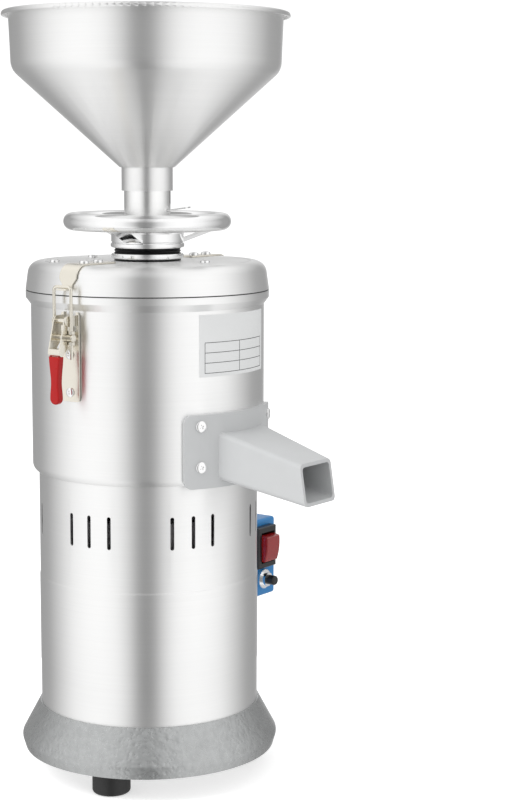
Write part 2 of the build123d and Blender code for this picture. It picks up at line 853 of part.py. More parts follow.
with BuildPart() as spoke_cutter:
    with Locations((0, 0, wheel_centre)):
        Torus(wheel_radius, wheel_rim_radius)
    Cylinder(hub_radius, 4 * hub_top)
with BuildPart() as handwheel_spokes:
    for k in range(spoke_count):
        plane = radial_plane(spoke_azimuth + k * 360 / spoke_count, 0, 0)
        side_plane = Plane(origin=(0, 0, 0), x_dir=plane.z_dir, z_dir=-plane.x_dir)
        with BuildSketch(side_plane):
            with BuildLine():
                inner = (hub_radius - 3, hub_bottom + spoke_root_height - 1.2)
                outer = (spoke_tip_radius, wheel_centre - spoke_tip_drop)
                Polyline(inner, outer, (outer[0], outer[1] + spoke_thickness),
                         (inner[0], inner[1] + spoke_thickness), close=True)
            make_face()
        extrude(amount=spoke_width / 2, both=True)
    add(spoke_cutter.part, mode=Mode.SUBTRACT)
save(handwheel_spokes.part, "handwheel_spokes")

# Adjusting sleeve: slides in the neck and carries the toothed stator
with BuildPart() as adjusting_sleeve:
    with BuildSketch(Plane.XZ):
        with BuildLine():
            sleeve_bore = tube_radius + running
            sleeve_outer = neck_bore_radius - running
            flange_top = stator_top + sleeve_flange_thickness
            shoulder = hub_top - hub_top_thickness - sliding
            Polyline(
                (sleeve_bore + 11, stator_top),
                (stator_ring_radius, stator_top),
                (stator_ring_radius, flange_top - 2),
                (stator_ring_radius - 2, flange_top),
                (sleeve_outer + 4, flange_top),
                (sleeve_outer, flange_top + 4),
                (sleeve_outer, shoulder),
                (sleeve_neck_radius, shoulder),
                (sleeve_neck_radius, hub_top + sliding),
                (sleeve_bore, hub_top + sliding),
                (sleeve_bore, flange_top + 8),
                close=True,
            )
        make_face()
    revolve(axis=Axis.Z)
save(adjusting_sleeve.part, "adjusting_sleeve")

# Feed tube: stands in the sleeve, with a slit for the gate and a slot at its top
gate_height = hub_bottom + gate_lift
gate_turn = level_place(gate_azimuth, 0, 0)
gate_start = Pos(tube_radius, 0, gate_height) * Rot(0, -gate_slope, 0)
with BuildPart() as feed_tube:
    with BuildSketch(Plane.XZ):
        with BuildLine():
            tube_inner = tube_radius - tube_wall
            Polyline(
                (tube_inner, tube_bottom),
                (tube_radius, tube_bottom),
                (tube_radius, hub_top + sliding),
                (tube_collar_radius, hub_top + sliding),
                (tube_collar_radius, hub_top + sliding + tube_collar_height),
                (tube_radius, hub_top + sliding + tube_collar_height),
                (tube_radius, tube_top),
                (tube_inner, tube_top),
                close=True,
            )
        make_face()
    revolve(axis=Axis.Z)
    with Locations(gate_turn * gate_start):
        Box(3 * tube_wall + 6, gate_width + 2 * sliding, gate_thickness + 2 * sliding, mode=Mode.SUBTRACT)
    with Locations(gate_turn * Pos(tube_radius, 0, tube_top - tube_slot_height / 2)):
        Box(3 * tube_wall + 2, tube_slot_width, tube_slot_height, mode=Mode.SUBTRACT)
save(feed_tube.part, "feed_tube")

# Feed gate: a thin sloping strip that throttles the tube when it is pushed in
gate_length = (gate_reach - tube_radius) / math.cos(math.radians(gate_slope)) + tube_wall
with BuildPart() as feed_gate:
    with BuildSketch(Plane(gate_turn * gate_start * Pos(-tube_wall, 0, -gate_thickness / 2))):
        with Locations((gate_length / 2, 0)):
            Rectangle(gate_length, gate_width)
    extrude(amount=gate_thickness)
    ends = feed_gate.edges().filter_by(lambda e: abs(e.length - gate_thickness) < 0.01)
    outer_ends = ends.sort_by(lambda e: Vector(e.center().X, e.center().Y).length)[-2:]
    fillet(outer_ends, 4)
save(feed_gate.part, "feed_gate")

# Hopper: collar, cone, cylinder and rolled rim in one sheet
taper_rise = hopper_radius - hopper_taper
with BuildPart() as hopper:
    with BuildSketch(Plane.XZ):
        with BuildLine():
            skin = FilletPolyline(
                (cone_foot_radius - hopper_sheet, cone_foot),
                (taper_rise - hopper_sheet, cone_top),
                (hopper_radius - hopper_sheet, hopper_top - 2 * hopper_bead),
                radius=hopper_corner,
            )
            outside = FilletPolyline(
                (cone_foot_radius, cone_foot),
                (taper_rise, cone_top - 0.3),
                (hopper_radius, hopper_top - 2 * hopper_bead),
                radius=hopper_corner + hopper_sheet,
            )
            Line(skin @ 0, outside @ 0)
            Line(skin @ 1, outside @ 1)
        make_face()
    revolve(axis=Axis.Z)
    with BuildSketch(Plane.XZ):
        with BuildLine():
            bead = hopper_bead
            low = hopper_top - 2 * bead
            Polyline((hopper_radius - hopper_sheet, low), (hopper_radius, low),
                     (hopper_radius + 0.6, low + bead), (hopper_rim_radius - bead, low + bead))
            ThreePointArc((hopper_rim_radius - bead, low + bead), (hopper_rim_radius - bead / 4, low + 0.6),
                          (hopper_rim_radius, low + bead))
            RadiusArc((hopper_rim_radius, low + bead), (hopper_rim_radius - bead, hopper_top), -bead)
            Polyline((hopper_rim_radius - bead, hopper_top), (hopper_radius + 1.2, hopper_top),
                     (hopper_radius - hopper_sheet, low + bead), (hopper_radius - hopper_sheet, low))
        make_face()
    revolve(axis=Axis.Z)
    with BuildSketch(Plane.XZ):
        with BuildLine():
            Polyline(
                (tube_radius + running, hopper_seat - hopper_collar_drop),
                (hopper_collar_radius, hopper_seat - hopper_collar_drop),
                (hopper_collar_radius, cone_foot + 0.2),
                (cone_foot_radius, cone_foot),
                (cone_foot_radius - hopper_sheet + 0.9, cone_foot + hopper_sheet),
                (tube_inner, cone_foot),
                (tube_inner, hopper_seat),
                (tube_radius + running, hopper_seat),
                close=True,
            )
        make_face()
    revolve(axis=Axis.Z)
save(hopper.part, "hopper")

# Spout: a saddle flange with a tapering duct that leans down to the mouth
flange_radius = upper_radius + running
mouth_turn = math.radians(duct_mouth_lean)
root_plane = Plane.YZ.offset(bowl_outer)
mouth_plane = Plane(
    origin=(duct_mouth_reach, 0, opening_centre - duct_mouth_drop),
    x_dir=(0, 1, 0),
    z_dir=(math.cos(mouth_turn), 0, math.sin(mouth_turn)),
)
with BuildPart() as duct_space:
    with BuildSketch(root_plane):
        with Locations((0, opening_centre)):
            RectangleRounded(duct_root_width - 2 * duct_wall, duct_root_height - 2 * duct_wall, duct_corner)
    with BuildSketch(mouth_plane):
        RectangleRounded(duct_mouth_width - 2 * duct_wall, duct_mouth_height - 2 * duct_wall,
                         duct_corner - 1)
    loft()
with BuildPart() as discharge_spout:
    with BuildSketch(root_plane):
        with Locations((0, opening_centre)):
            RectangleRounded(duct_root_width, duct_root_height, duct_corner)
    with BuildSketch(mouth_plane):
        RectangleRounded(duct_mouth_width, duct_mouth_height, duct_corner)
    loft()
    with BuildSketch(Plane.XZ.rotated((0, 0, -flange_half_angle))):
        with Locations((flange_radius + flange_thickness / 2, spout_bottom + flange_height / 2)):
            Rectangle(flange_thickness, flange_height)
    revolve(axis=Axis.Z, revolution_arc=2 * flange_half_angle)
    flange_corners = discharge_spout.edges().filter_by(
        lambda e: abs(e.length - flange_thickness) < 0.01 and abs(e.center().Y) > duct_root_width / 2
    )
    fillet(flange_corners, flange_corner)
    Cylinder(flange_radius, 2 * hopper_top, mode=Mode.SUBTRACT)
    add(duct_space.part, mode=Mode.SUBTRACT)
    for azimuth, height in spout_screw_places:
        with BuildSketch(radial_plane(azimuth, upper_inner, height)):
            Circle(spout_screw_radius + sliding)
        extrude(amount=20, mode=Mode.SUBTRACT)
save(discharge_spout.part, "discharge_spout")

with BuildPart() as spout_screws:
    for azimuth, height in spout_screw_places:
        seat = flange_radius + flange_thickness
        reach = seat - upper_inner
        with BuildSketch(radial_plane(azimuth, seat - reach, height)):
            Circle(spout_screw_radius)
        extrude(amount=reach)
        with BuildSketch(radial_plane(azimuth, seat, height)):
            Circle(spout_screw_head_radius)
        extrude(amount=spout_screw_head_height, taper=14)
save(spout_screws.part, "spout_screws")

# Round-head screws on the lid and on the latch straps
strap_top = lid_top + strap_gap + strap_thickness


def screw_group(places, seat, length):
    """Round-head screws standing on a seat height, each with its shank below."""
    with BuildPart() as screws:
        with Locations(*[place * Pos(0, 0, seat) for place in places]):
            Cylinder(lid_screw_head_radius, lid_screw_head_height,
                     align=(Align.CENTER, Align.CENTER, Align.MIN))
        tops = screws.edges().filter_by(GeomType.CIRCLE).group_by(Axis.Z)[-1]
        fillet(tops, lid_screw_head_height * 0.7)
        with Locations(*[place * Pos(0, 0, seat) for place in places]):
            Cylinder(lid_screw_radius, length, align=(Align.CENTER, Align.CENTER, Align.MAX))
    return screws.part


lid_screw_places = [level_place(90, lid_screw_circle, 0), level_place(-90, lid_screw_circle, 0)]
deep_length = lid_wall + neck_flange_thickness - 1
inner_strap_places = [level_place(azimuth, strap_screw_circle, 0) for azimuth in (0, 180)]
outer_strap_places = [
    level_place(azimuth, strap_screw_circle + strap_screw_pitch, 0) for azimuth in (0, 180)
]
strap_rise = strap_top - lid_top
save(
    Compound(children=[
        *screw_group(lid_screw_places, lid_top, deep_length).solids(),
        *screw_group([level_place(side_screw_azimuth, side_screw_circle, 0)], lid_top, lid_wall).solids(),
        *screw_group(inner_strap_places, strap_top, deep_length + strap_rise).solids(),
        *screw_group(outer_strap_places, strap_top, lid_wall + strap_rise).solids(),
    ]),
    "lid_screws",
)

# Draw latch, drawn at -Y and turned to each of its two places
hook_top = lid_bottom + hook_lift
bar_height = hook_top + bail_gap + bail_wire
plate_back = upper_radius + running
ear_outer = arm_gap / 2 + arm_thickness + sliding + ear_thickness
with BuildPart() as latch_plate:
    with BuildSketch(Plane.XZ.offset(plate_back)):
        with Locations((0, latch_low + latch_plate_height / 2)):
            RectangleRounded(latch_plate_width, latch_plate_height, latch_plate_corner)
        with Locations((0, latch_low + latch_plate_height - latch_window_drop - latch_window_height / 2)):
            RectangleRounded(latch_window_width, latch_window_height, 1.5, mode=Mode.SUBTRACT)
        for height in latch_screw_heights:
            with Locations((0, height)):
                Circle(latch_screw_radius + sliding, mode=Mode.SUBTRACT)
    extrude(amount=latch_plate_thickness)
    with BuildSketch(Plane.YZ):
        with Locations((-(plate_back + pivot_radius_place) / 2, pivot_height)):
            Rectangle(pivot_radius_place - plate_back, 2 * ear_radius)
        with Locations((-pivot_radius_place, pivot_height)):
            Circle(ear_radius)
            Circle(pivot_radius, mode=Mode.SUBTRACT)
    extrude(amount=ear_outer, both=True)
    with Locations((0, -pivot_radius_place, pivot_height)):
        Box(2 * (ear_outer - ear_thickness), 4 * ear_radius + pivot_reach, 4 * ear_radius,
            mode=Mode.SUBTRACT)

with BuildPart() as latch_pin:
    with Locations((0, -pivot_radius_place, pivot_height)):
        Cylinder(pivot_radius - 0.02, 2 * ear_outer, rotation=(0, 90, 0))
    fillet(latch_pin.edges().filter_by(GeomType.CIRCLE), 0.3)

with BuildPart() as latch_screw_pair:
    for height in latch_screw_heights:
        with BuildSketch(Plane.XZ.offset(plate_back + latch_plate_thickness)):
            with Locations((0, height)):
                Circle(latch_screw_head_radius)
        extrude(amount=latch_screw_head_height, taper=20)
        with BuildSketch(Plane.XZ.offset(plate_back + latch_plate_thickness)):
            with Locations((0, height)):
                Circle(latch_screw_radius)
        extrude(amount=-latch_plate_thickness - 2 * sheet)

handle_end = (-(pivot_radius_place + handle_outset), pivot_height - handle_drop)
grip_top = pivot_height - grip_drop
with BuildPart() as latch_handle:
    with BuildSketch(Plane.YZ):
        with BuildLine():
            CenterArc((-pivot_radius_place, pivot_height), arm_radius, 0, 360)
            CenterArc((-barrel_place, barrel_height), arm_radius, 0, 360)
            CenterArc(handle_end, handle_end_radius, 0, 360)
        make_hull()
    extrude(amount=arm_gap / 2 + arm_thickness, both=True)
    web_top = handle_end[1] + handle_end_radius
    with Locations((0, -pivot_radius_place, web_top)):
        Box(arm_gap, 80, 80, align=(Align.CENTER, Align.CENTER, Align.MIN), mode=Mode.SUBTRACT)
    with Locations((0, handle_end[0], handle_end[1])):
        Box(handle_tongue_width, handle_tongue_thickness, handle_tongue_length,
            align=(Align.CENTER, Align.CENTER, Align.MAX))
    with Locations((0, -pivot_radius_place, pivot_height)):
        Cylinder(pivot_radius + running, 40, rotation=(0, 90, 0), mode=Mode.SUBTRACT)
    with Locations((0, -barrel_place, barrel_height)):
        Cylinder(barrel_radius + running, 40, rotation=(0, 90, 0), mode=Mode.SUBTRACT)

with BuildPart() as latch_grip:
    with BuildSketch(Plane.XZ.offset(-handle_end[0] - grip_thickness / 2)):
        with BuildLine():
            low = grip_top - grip_length + grip_end_width / 2
            right = Spline(
                (grip_width / 2, grip_top), (grip_waist / 2, grip_top - 0.62 * grip_length),
                (grip_end_width / 2, low), tangents=((-0.05, -1), (0, -1)),
            )
            ThreePointArc((grip_end_width / 2, low), (0, grip_top - grip_length), (-grip_end_width / 2, low))
            Spline(
                (-grip_end_width / 2, low), (-grip_waist / 2, grip_top - 0.62 * grip_length),
                (-grip_width / 2, grip_top), tangents=((0, 1), (-0.05, 1)),
            )
            Line((-grip_width / 2, grip_top), (grip_width / 2, grip_top))
        make_face()
    extrude(amount=grip_thickness)
    outline = latch_grip.edges().filter_by(lambda e: e.length > grip_thickness + 0.5)
    fillet(outline, grip_edge)
    with Locations((0, handle_end[0], handle_end[1])):
        Box(handle_tongue_width + running, handle_tongue_thickness + running, handle_tongue_length + running,
            align=(Align.CENTER, Align.CENTER, Align.MAX), mode=Mode.SUBTRACT)

with BuildPart() as latch_barrel:
    with Locations((0, -barrel_place, barrel_height)):
        Cylinder(barrel_radius, barrel_length, rotation=(0, 90, 0))
    chamfer(latch_barrel.edges().filter_by(GeomType.CIRCLE), 0.5)
    with Locations((-bail_width / 2, -barrel_place, barrel_height),
                   (bail_width / 2, -barrel_place, barrel_height)):
        Cylinder(bail_wire + 0.02, 20, mode=Mode.SUBTRACT)

with BuildPart() as latch_bail:
    with BuildLine(Plane.XZ.offset(barrel_place)) as bail_path:
        FilletPolyline(
            (-bail_width / 2, barrel_height - bail_leg_drop),
            (-bail_width / 2, bar_height),
            (bail_width / 2, bar_height),
            (bail_width / 2, barrel_height - bail_leg_drop),
            radius=bail_corner,
        )
    with BuildSketch(Plane(origin=bail_path.line @ 0, z_dir=bail_path.line % 0)):
        Circle(bail_wire)
    sweep()

with BuildPart() as latch_nuts:
    for seat in (barrel_height + barrel_radius, barrel_height - barrel_radius - bail_nut_height):
        with BuildSketch(Plane.XY.offset(seat)):
            with Locations((-bail_width / 2, -barrel_place), (bail_width / 2, -barrel_place)):
                RegularPolygon(bail_nut_flat / 2, 6, major_radius=False, rotation=30)
                Circle(bail_wire + 0.02, mode=Mode.SUBTRACT)
        extrude(amount=bail_nut_height)


def strap_side(gap, height):
    """Radius of a line beside the tapered lid, at a height above the lid's lower edge."""
    return lip_radius + gap / math.cos(math.radians(lid_taper)) - height * taper


under, over = strap_gap, strap_gap + strap_thickness
hook_bottom = hook_top - strap_thickness
hook_tip = barrel_place + bail_wire + hook_margin
with BuildPart() as latch_strap:
    with BuildSketch(Plane.YZ):
        with BuildLine():
            top_skin = FilletPolyline(
                (-strap_inner_radius, lid_top + over),
                (-strap_side(over, lid_height + over), lid_top + over),
                (-strap_side(over, hook_lift), hook_top),
                (-hook_tip, hook_top),
                radius=(lid_shoulder + over, hook_bend),
            )
            low_skin = FilletPolyline(
                (-strap_inner_radius, lid_top + under),
                (-strap_side(under, lid_height + under), lid_top + under),
                (-strap_side(under, hook_lift - strap_thickness), hook_bottom),
                (-hook_tip, hook_bottom),
                radius=(lid_shoulder + under, hook_bend + strap_thickness),
            )
            Line(top_skin @ 0, low_skin @ 0)
            Line(top_skin @ 1, low_skin @ 1)
        make_face()
    extrude(amount=strap_width / 2, both=True)
    with BuildSketch(Plane.XZ.offset(lip_radius - 6)):
        for side in (-1, 1):
            with BuildLine():
                neck_start = hook_top + 3
                Polyline(
                    (side * hook_width / 2, hook_bottom - 1),
                    (side * hook_width / 2, neck_start),
                    (side * strap_width / 2, neck_start + hook_taper_height),
                    (side * (strap_width / 2 + 1), neck_start + hook_taper_height),
                    (side * (strap_width / 2 + 1), hook_bottom - 1),
                    close=True,
                )
            make_face()
    extrude(amount=20, mode=Mode.SUBTRACT)
    inner_corners = latch_strap.edges().filter_by(Axis.Z).group_by(Axis.Y)[-1]
    fillet(inner_corners, 3)
    for k in (0, 1):
        with Locations(level_place(0, strap_screw_circle + k * strap_screw_pitch, strap_top)):
            Hole(lid_screw_radius + sliding, 2 * strap_thickness)

for index, azimuth in enumerate((0, 180), start=1):
    for piece, name in (
        (latch_plate, "plate"),
        (latch_strap, "strap"),
        (latch_handle, "handle"),
        (latch_grip, "grip"),
        (latch_barrel, "barrel"),
        (latch_bail, "bail"),
        (latch_nuts, "nuts"),
    ):
        save(piece.part.rotate(Axis.Z, azimuth), f"latch_{index}_{name}")
for piece, name in ((latch_pin, "latch_pivot_pins"), (latch_screw_pair, "latch_plate_screws")):
    turned = [solid.rotate(Axis.Z, azimuth) for azimuth in (0, 180) for solid in piece.part.solids()]
    save(Compound(children=turned), name)

# Switch box: a moulded box against the motor shell, open towards its cover
box_top = box_low + box_height
cover_seat = box_face - box_cover_thickness
rocker_height_place = box_low + rocker_centre_lift
reset_height = box_low + reset_lift
side_face = box_width / 2
post_places = [
    (x, box_low + z)
    for x in (-side_face + box_post_inset, side_face - box_post_inset)
    for z in (box_post_inset, box_height - box_post_inset)
]
with BuildPart() as switch_box:
    with Locations((0, (box_back + box_face) / 2, box_low + box_height / 2)):
        Box(box_width, box_face - box_back, box_height)
    front = switch_box.edges().group_by(Axis.Y)[-1]
    along = switch_box.edges().filter_by(Axis.Y)
    fillet(front + along, box_corner)
    with Locations((0, (box_back + box_face) / 2, box_low + box_height / 2)):
        Box(box_width - 2 * box_wall, box_face - box_back + 2, box_height - 2 * box_wall,
            mode=Mode.SUBTRACT)
    for x, z in post_places:
        with Locations((x, cover_seat - box_post_depth / 2, z)):
            Cylinder(box_post_radius, box_post_depth, rotation=(90, 0, 0))
            Cylinder(box_screw_radius + running, box_post_depth, rotation=(90, 0, 0), mode=Mode.SUBTRACT)
    Cylinder(middle_radius + running, 4 * box_top, mode=Mode.SUBTRACT)
    with BuildSketch(Plane.YZ.offset(side_face - box_wall - 1)):
        with Locations((rocker_centre_y, rocker_height_place)):
            Rectangle(housing_width + 2 * running, housing_height + 2 * running)
        with Locations((reset_y, reset_height)):
            Circle(reset_bush_radius + sliding)
    extrude(amount=box_wall + 2, mode=Mode.SUBTRACT)
    with Locations((gland_x, gland_y, box_low)):
        Cylinder(gland_thread_radius + sliding, 3 * box_wall, mode=Mode.SUBTRACT)
save(switch_box.part, "switch_box")

with BuildPart() as switch_box_cover:
    with BuildSketch(Plane.XZ.offset(-box_face)):
        with Locations((0, box_low + box_height / 2)):
            Rectangle(box_width - 2 * box_wall - 2 * sliding, box_height - 2 * box_wall - 2 * sliding)
        for x, z in post_places:
            with Locations((x, z)):
                Circle(box_screw_radius + sliding, mode=Mode.SUBTRACT)
    extrude(amount=box_cover_thickness)
save(switch_box_cover.part, "switch_box_cover")

with BuildPart() as switch_box_screws:
    for x, z in post_places:
        with Locations((x, box_face + box_screw_head_height / 2, z)):
            Cylinder(box_screw_head_radius, box_screw_head_height, rotation=(90, 0, 0))
        with Locations((x, box_face - box_screw_length / 2, z)):
            Cylinder(box_screw_radius, box_screw_length, rotation=(90, 0, 0))
save(switch_box_screws.part, "switch_box_screws")

# Rocker switch: housing with its bezel, and the rocker on its own two stubs
pivot_x = side_face + rocker_pivot_depth
with BuildPart() as rocker_housing:
    with Locations((side_face, rocker_centre_y, rocker_height_place)):
        Box(bezel_depth, bezel_width, bezel_height, align=(Align.MIN, Align.CENTER, Align.CENTER))
    rims = rocker_housing.edges().group_by(Axis.X)[-1]
    fillet(rims, bezel_edge)
    with Locations((side_face, rocker_centre_y, rocker_height_place)):
        Box(housing_depth, housing_width, housing_height, align=(Align.MAX, Align.CENTER, Align.CENTER))
        Box(2 * bezel_depth + 4, rocker_width + 2 * loose, rocker_height + 4,
            mode=Mode.SUBTRACT)
    with Locations((pivot_x, rocker_centre_y, rocker_height_place)):
        Cylinder(rocker_pivot_radius + running, bezel_width - 4, rotation=(90, 0, 0), mode=Mode.SUBTRACT)
save(rocker_housing.part, "rocker_housing")

with BuildPart() as rocker:
    with BuildSketch(Plane.XZ.offset(-rocker_centre_y)):
        with BuildLine():
            half = rocker_height / 2
            Polyline(
                (pivot_x - 6, rocker_height_place - half + 1.5),
                (pivot_x - 6, rocker_height_place + half - 1.5),
                (pivot_x + 2, rocker_height_place + half),
                (pivot_x + rocker_depth - 1.6, rocker_height_place + half - 0.8),
            )
            RadiusArc((pivot_x + rocker_depth - 1.6, rocker_height_place + half - 0.8),
                      (pivot_x + rocker_depth - 1.6, rocker_height_place - half + 0.8), 52)
            Polyline(
                (pivot_x + rocker_depth - 1.6, rocker_height_place - half + 0.8),
                (pivot_x + 2, rocker_height_place - half),
                (pivot_x - 6, rocker_height_place - half + 1.5),
            )
        make_face()
    extrude(amount=rocker_width / 2, both=True)
    proud = rocker.edges().filter_by(lambda e: e.center().X > pivot_x + rocker_depth - 2.2)
    fillet(proud, 1.2)
    with Locations((pivot_x, rocker_centre_y, rocker_height_place)):
        Cylinder(rocker_pivot_radius, bezel_width - 5, rotation=(90, 0, 0))
rocker_axis = Axis((pivot_x, rocker_centre_y, rocker_height_place), (0, 1, 0))
save(rocker.part.rotate(rocker_axis, rocker_tilt), "rocker")

# Overload breaker: body inside the box, threaded bush, ring nut and plunger
inner_face = side_face - box_wall
with BuildPart() as breaker_body:
    with Locations((inner_face, reset_y, reset_height)):
        Box(breaker_body_depth, breaker_body_width, breaker_body_height,
            align=(Align.MAX, Align.CENTER, Align.CENTER))
        Cylinder(reset_bush_radius, box_wall + reset_bush_height, rotation=(0, 90, 0),
                 align=(Align.CENTER, Align.CENTER, Align.MIN))
    with Locations((side_face + reset_bush_height, reset_y, reset_height)):
        Cylinder(reset_plunger_radius + running, reset_bush_height + reset_inner_depth + 4,
                 rotation=(0, 90, 0), align=(Align.CENTER, Align.CENTER, Align.MAX), mode=Mode.SUBTRACT)

with BuildPart() as breaker_nut:
    with BuildSketch(Plane.YZ.offset(side_face)):
        with Locations((reset_y, reset_height)):
            Circle(reset_nut_radius)
            Circle(reset_bush_radius + running, mode=Mode.SUBTRACT)
            with PolarLocations(reset_nut_radius, reset_nut_teeth):
                RegularPolygon(0.9, 4, mode=Mode.SUBTRACT)
    extrude(amount=reset_nut_height)
save(Compound(children=[*breaker_body.part.solids(), *breaker_nut.part.solids()]), "overload_breaker")

with BuildPart() as reset_plunger:
    with Locations((side_face + reset_plunger_height, reset_y, reset_height)):
        Cylinder(reset_plunger_radius, reset_plunger_height + reset_inner_depth, rotation=(0, 90, 0),
                 align=(Align.CENTER, Align.CENTER, Align.MAX))
    fillet(reset_plunger.edges().filter_by(GeomType.CIRCLE).group_by(Axis.X)[-1], 2.0)
save(reset_plunger.part, "reset_plunger")

# Cable gland, inlet only
with BuildPart() as cable_gland:
    with BuildSketch(Plane.XY.offset(box_low)):
        with Locations((gland_x, gland_y)):
            RegularPolygon(gland_hex / 2, 6, major_radius=False)
    extrude(amount=-gland_hex_height)
    with Locations((gland_x, gland_y, box_low - gland_hex_height)):
        Cylinder(gland_dome_radius, gland_dome_height, align=(Align.CENTER, Align.CENTER, Align.MAX))
    fillet(cable_gland.edges().filter_by(GeomType.CIRCLE).group_by(Axis.Z)[0], 2.5)
    with Locations((gland_x, gland_y, box_low)):
        Cylinder(gland_thread_radius, gland_thread_length, align=(Align.CENTER, Align.CENTER, Align.MIN))
        Cylinder(gland_bore_radius, 60, mode=Mode.SUBTRACT)
save(cable_gland.part, "cable_gland")

# Motor shields: castings that carry the core and the bearings
vent_ring = [
    level_place(shield_bolt_azimuth + (k + 0.5) * 360 / shield_vent_count, 0, 0)
    for k in range(shield_vent_count)
]
bearing_seat = bearing_radius + running
with BuildPart() as motor_bottom_shield:
    with BuildSketch(Plane.XZ):
        with BuildLine():
            plate_top = shield_bottom + shield_plate
            Polyline(
                (bearing_seat, shield_bottom),
                (shield_rim_radius, shield_bottom),
                (shield_rim_radius, core_bottom + core_seat),
                (core_radius + running, core_bottom + core_seat),
                (core_radius + running, core_bottom),
                (shield_rim_inner, core_bottom),
                (shield_rim_inner, plate_top),
                (shield_hub_radius, plate_top),
                (shield_hub_radius, shield_bottom + bearing_width),
                (bearing_seat, shield_bottom + bearing_width),
                close=True,
            )
        make_face()
    revolve(axis=Axis.Z)
    with Locations(*[p * Pos(0, 0, deck_top) for p in bolt_places]):
        Cylinder(shield_foot_radius, shield_foot_height, align=(Align.CENTER, Align.CENTER, Align.MIN))
    with Locations(*[p * Pos(shield_vent_circle, 0, shield_bottom) for p in vent_ring]):
        Cylinder(shield_vent_radius, 4 * shield_plate, mode=Mode.SUBTRACT)
    with Locations(*bolt_places):
        Cylinder(motor_bolt_radius + sliding, 4 * core_bottom, mode=Mode.SUBTRACT)
save(motor_bottom_shield.part, "motor_bottom_shield")

with BuildPart() as motor_top_shield:
    with BuildSketch(Plane.XZ):
        with BuildLine():
            plate_low = shield_top - shield_plate
            Polyline(
                (bearing_seat, shield_top),
                (shield_rim_radius, shield_top),
                (shield_rim_radius, core_top - core_seat),
                (core_radius + running, core_top - core_seat),
                (core_radius + running, core_top),
                (shield_rim_inner, core_top),
                (shield_rim_inner, plate_low),
                (shield_hub_radius, plate_low),
                (shield_hub_radius, shield_top - bearing_width),
                (bearing_seat, shield_top - bearing_width),
                close=True,
            )
        make_face()
    revolve(axis=Axis.Z)
    for place in vent_ring:
        with Locations(place * Pos(shield_rim_inner, 0, (core_top + plate_low) / 2)):
            Cylinder(shield_vent_radius, 40, rotation=(0, 90, 0), mode=Mode.SUBTRACT)
    with Locations(*bolt_places):
        Cylinder(motor_bolt_radius + sliding, 4 * shield_top, mode=Mode.SUBTRACT)
save(motor_top_shield.part, "motor_top_shield")

with BuildPart() as motor_bearings:
    for seat in (bearing_low, bearing_high):
        with BuildSketch(Plane.XY.offset(seat)):
            Circle(bearing_radius)
            Circle(bearing_bore_radius + running, mode=Mode.SUBTRACT)
        extrude(amount=bearing_width)
        with BuildSketch(Plane.XY.offset(seat + bearing_width)):
            Circle(bearing_radius - 4)
            Circle(bearing_bore_radius + 3.5, mode=Mode.SUBTRACT)
        extrude(amount=-1, mode=Mode.SUBTRACT)
save(motor_bearings.part, "motor_bearings")

with BuildPart() as motor_bolts:
    for place in bolt_places:
        with Locations(place * Pos(0, 0, shield_top)):
            Cylinder(motor_bolt_head_radius, motor_bolt_head_height,
                     align=(Align.CENTER, Align.CENTER, Align.MIN))
            Cylinder(motor_bolt_radius, shield_top - deck_bottom + motor_bolt_head_height,
                     align=(Align.CENTER, Align.CENTER, Align.MAX))
        with Locations(place * Pos(0, 0, deck_bottom)):
            Cylinder(motor_bolt_head_radius, motor_bolt_head_height,
                     align=(Align.CENTER, Align.CENTER, Align.MAX))
save(motor_bolts.part, "motor_bolts")

# Stator core and its windings
with BuildPart() as stator_core:
    with BuildSketch(Plane.XY.offset(core_bottom)):
        Circle(core_radius)
        Circle(core_bore_radius, mode=Mode.SUBTRACT)
        with PolarLocations(core_bore_radius + (core_slot_depth - core_slot_mouth) / 2, core_slot_count):
            Rectangle(core_slot_depth + core_slot_mouth, core_slot_width, mode=Mode.SUBTRACT)
    extrude(amount=core_height)
save(stator_core.part, "stator_core")

with BuildPart() as stator_windings:
    winding_middle = (winding_inner_radius + winding_outer_radius) / 2
    with BuildSketch(Plane.XZ):
        with Locations((winding_middle, core_bottom - winding_height / 2),
                       (winding_middle, core_top + winding_height / 2)):
            RectangleRounded(winding_outer_radius - winding_inner_radius, winding_height, winding_corner)
    revolve(axis=Axis.Z)
save(stator_windings.part, "stator_windings")

# Motor shaft with its rotor and cooling fan
shaft_bottom = deck_top + fan_lift
nut_thread_top = rotor_top + nut_height - 4
with BuildPart() as motor_shaft:
    with BuildSketch(Plane.XZ):
        with BuildLine():
            Polyline(
                (0, shaft_bottom),
                (shaft_fan_radius, shaft_bottom),
                (shaft_fan_radius, shield_bottom - 1),
                (bearing_bore_radius, shield_bottom - 1),
                (bearing_bore_radius, bearing_low + bearing_width + 0.5),
                (shaft_core_radius, bearing_low + bearing_width + 1.5),
                (shaft_core_radius, bearing_high - 1.5),
                (shaft_seal_radius, bearing_high - 0.5),
                (shaft_seal_radius, impeller_seat),
                (shaft_rotor_radius, impeller_seat),
                (shaft_rotor_radius, rotor_top),
                (shaft_thread_radius, rotor_top),
                (shaft_thread_radius, nut_thread_top),
                (0, nut_thread_top),
                close=True,
            )
        make_face()
    revolve(axis=Axis.Z)
save(motor_shaft.part, "motor_shaft")

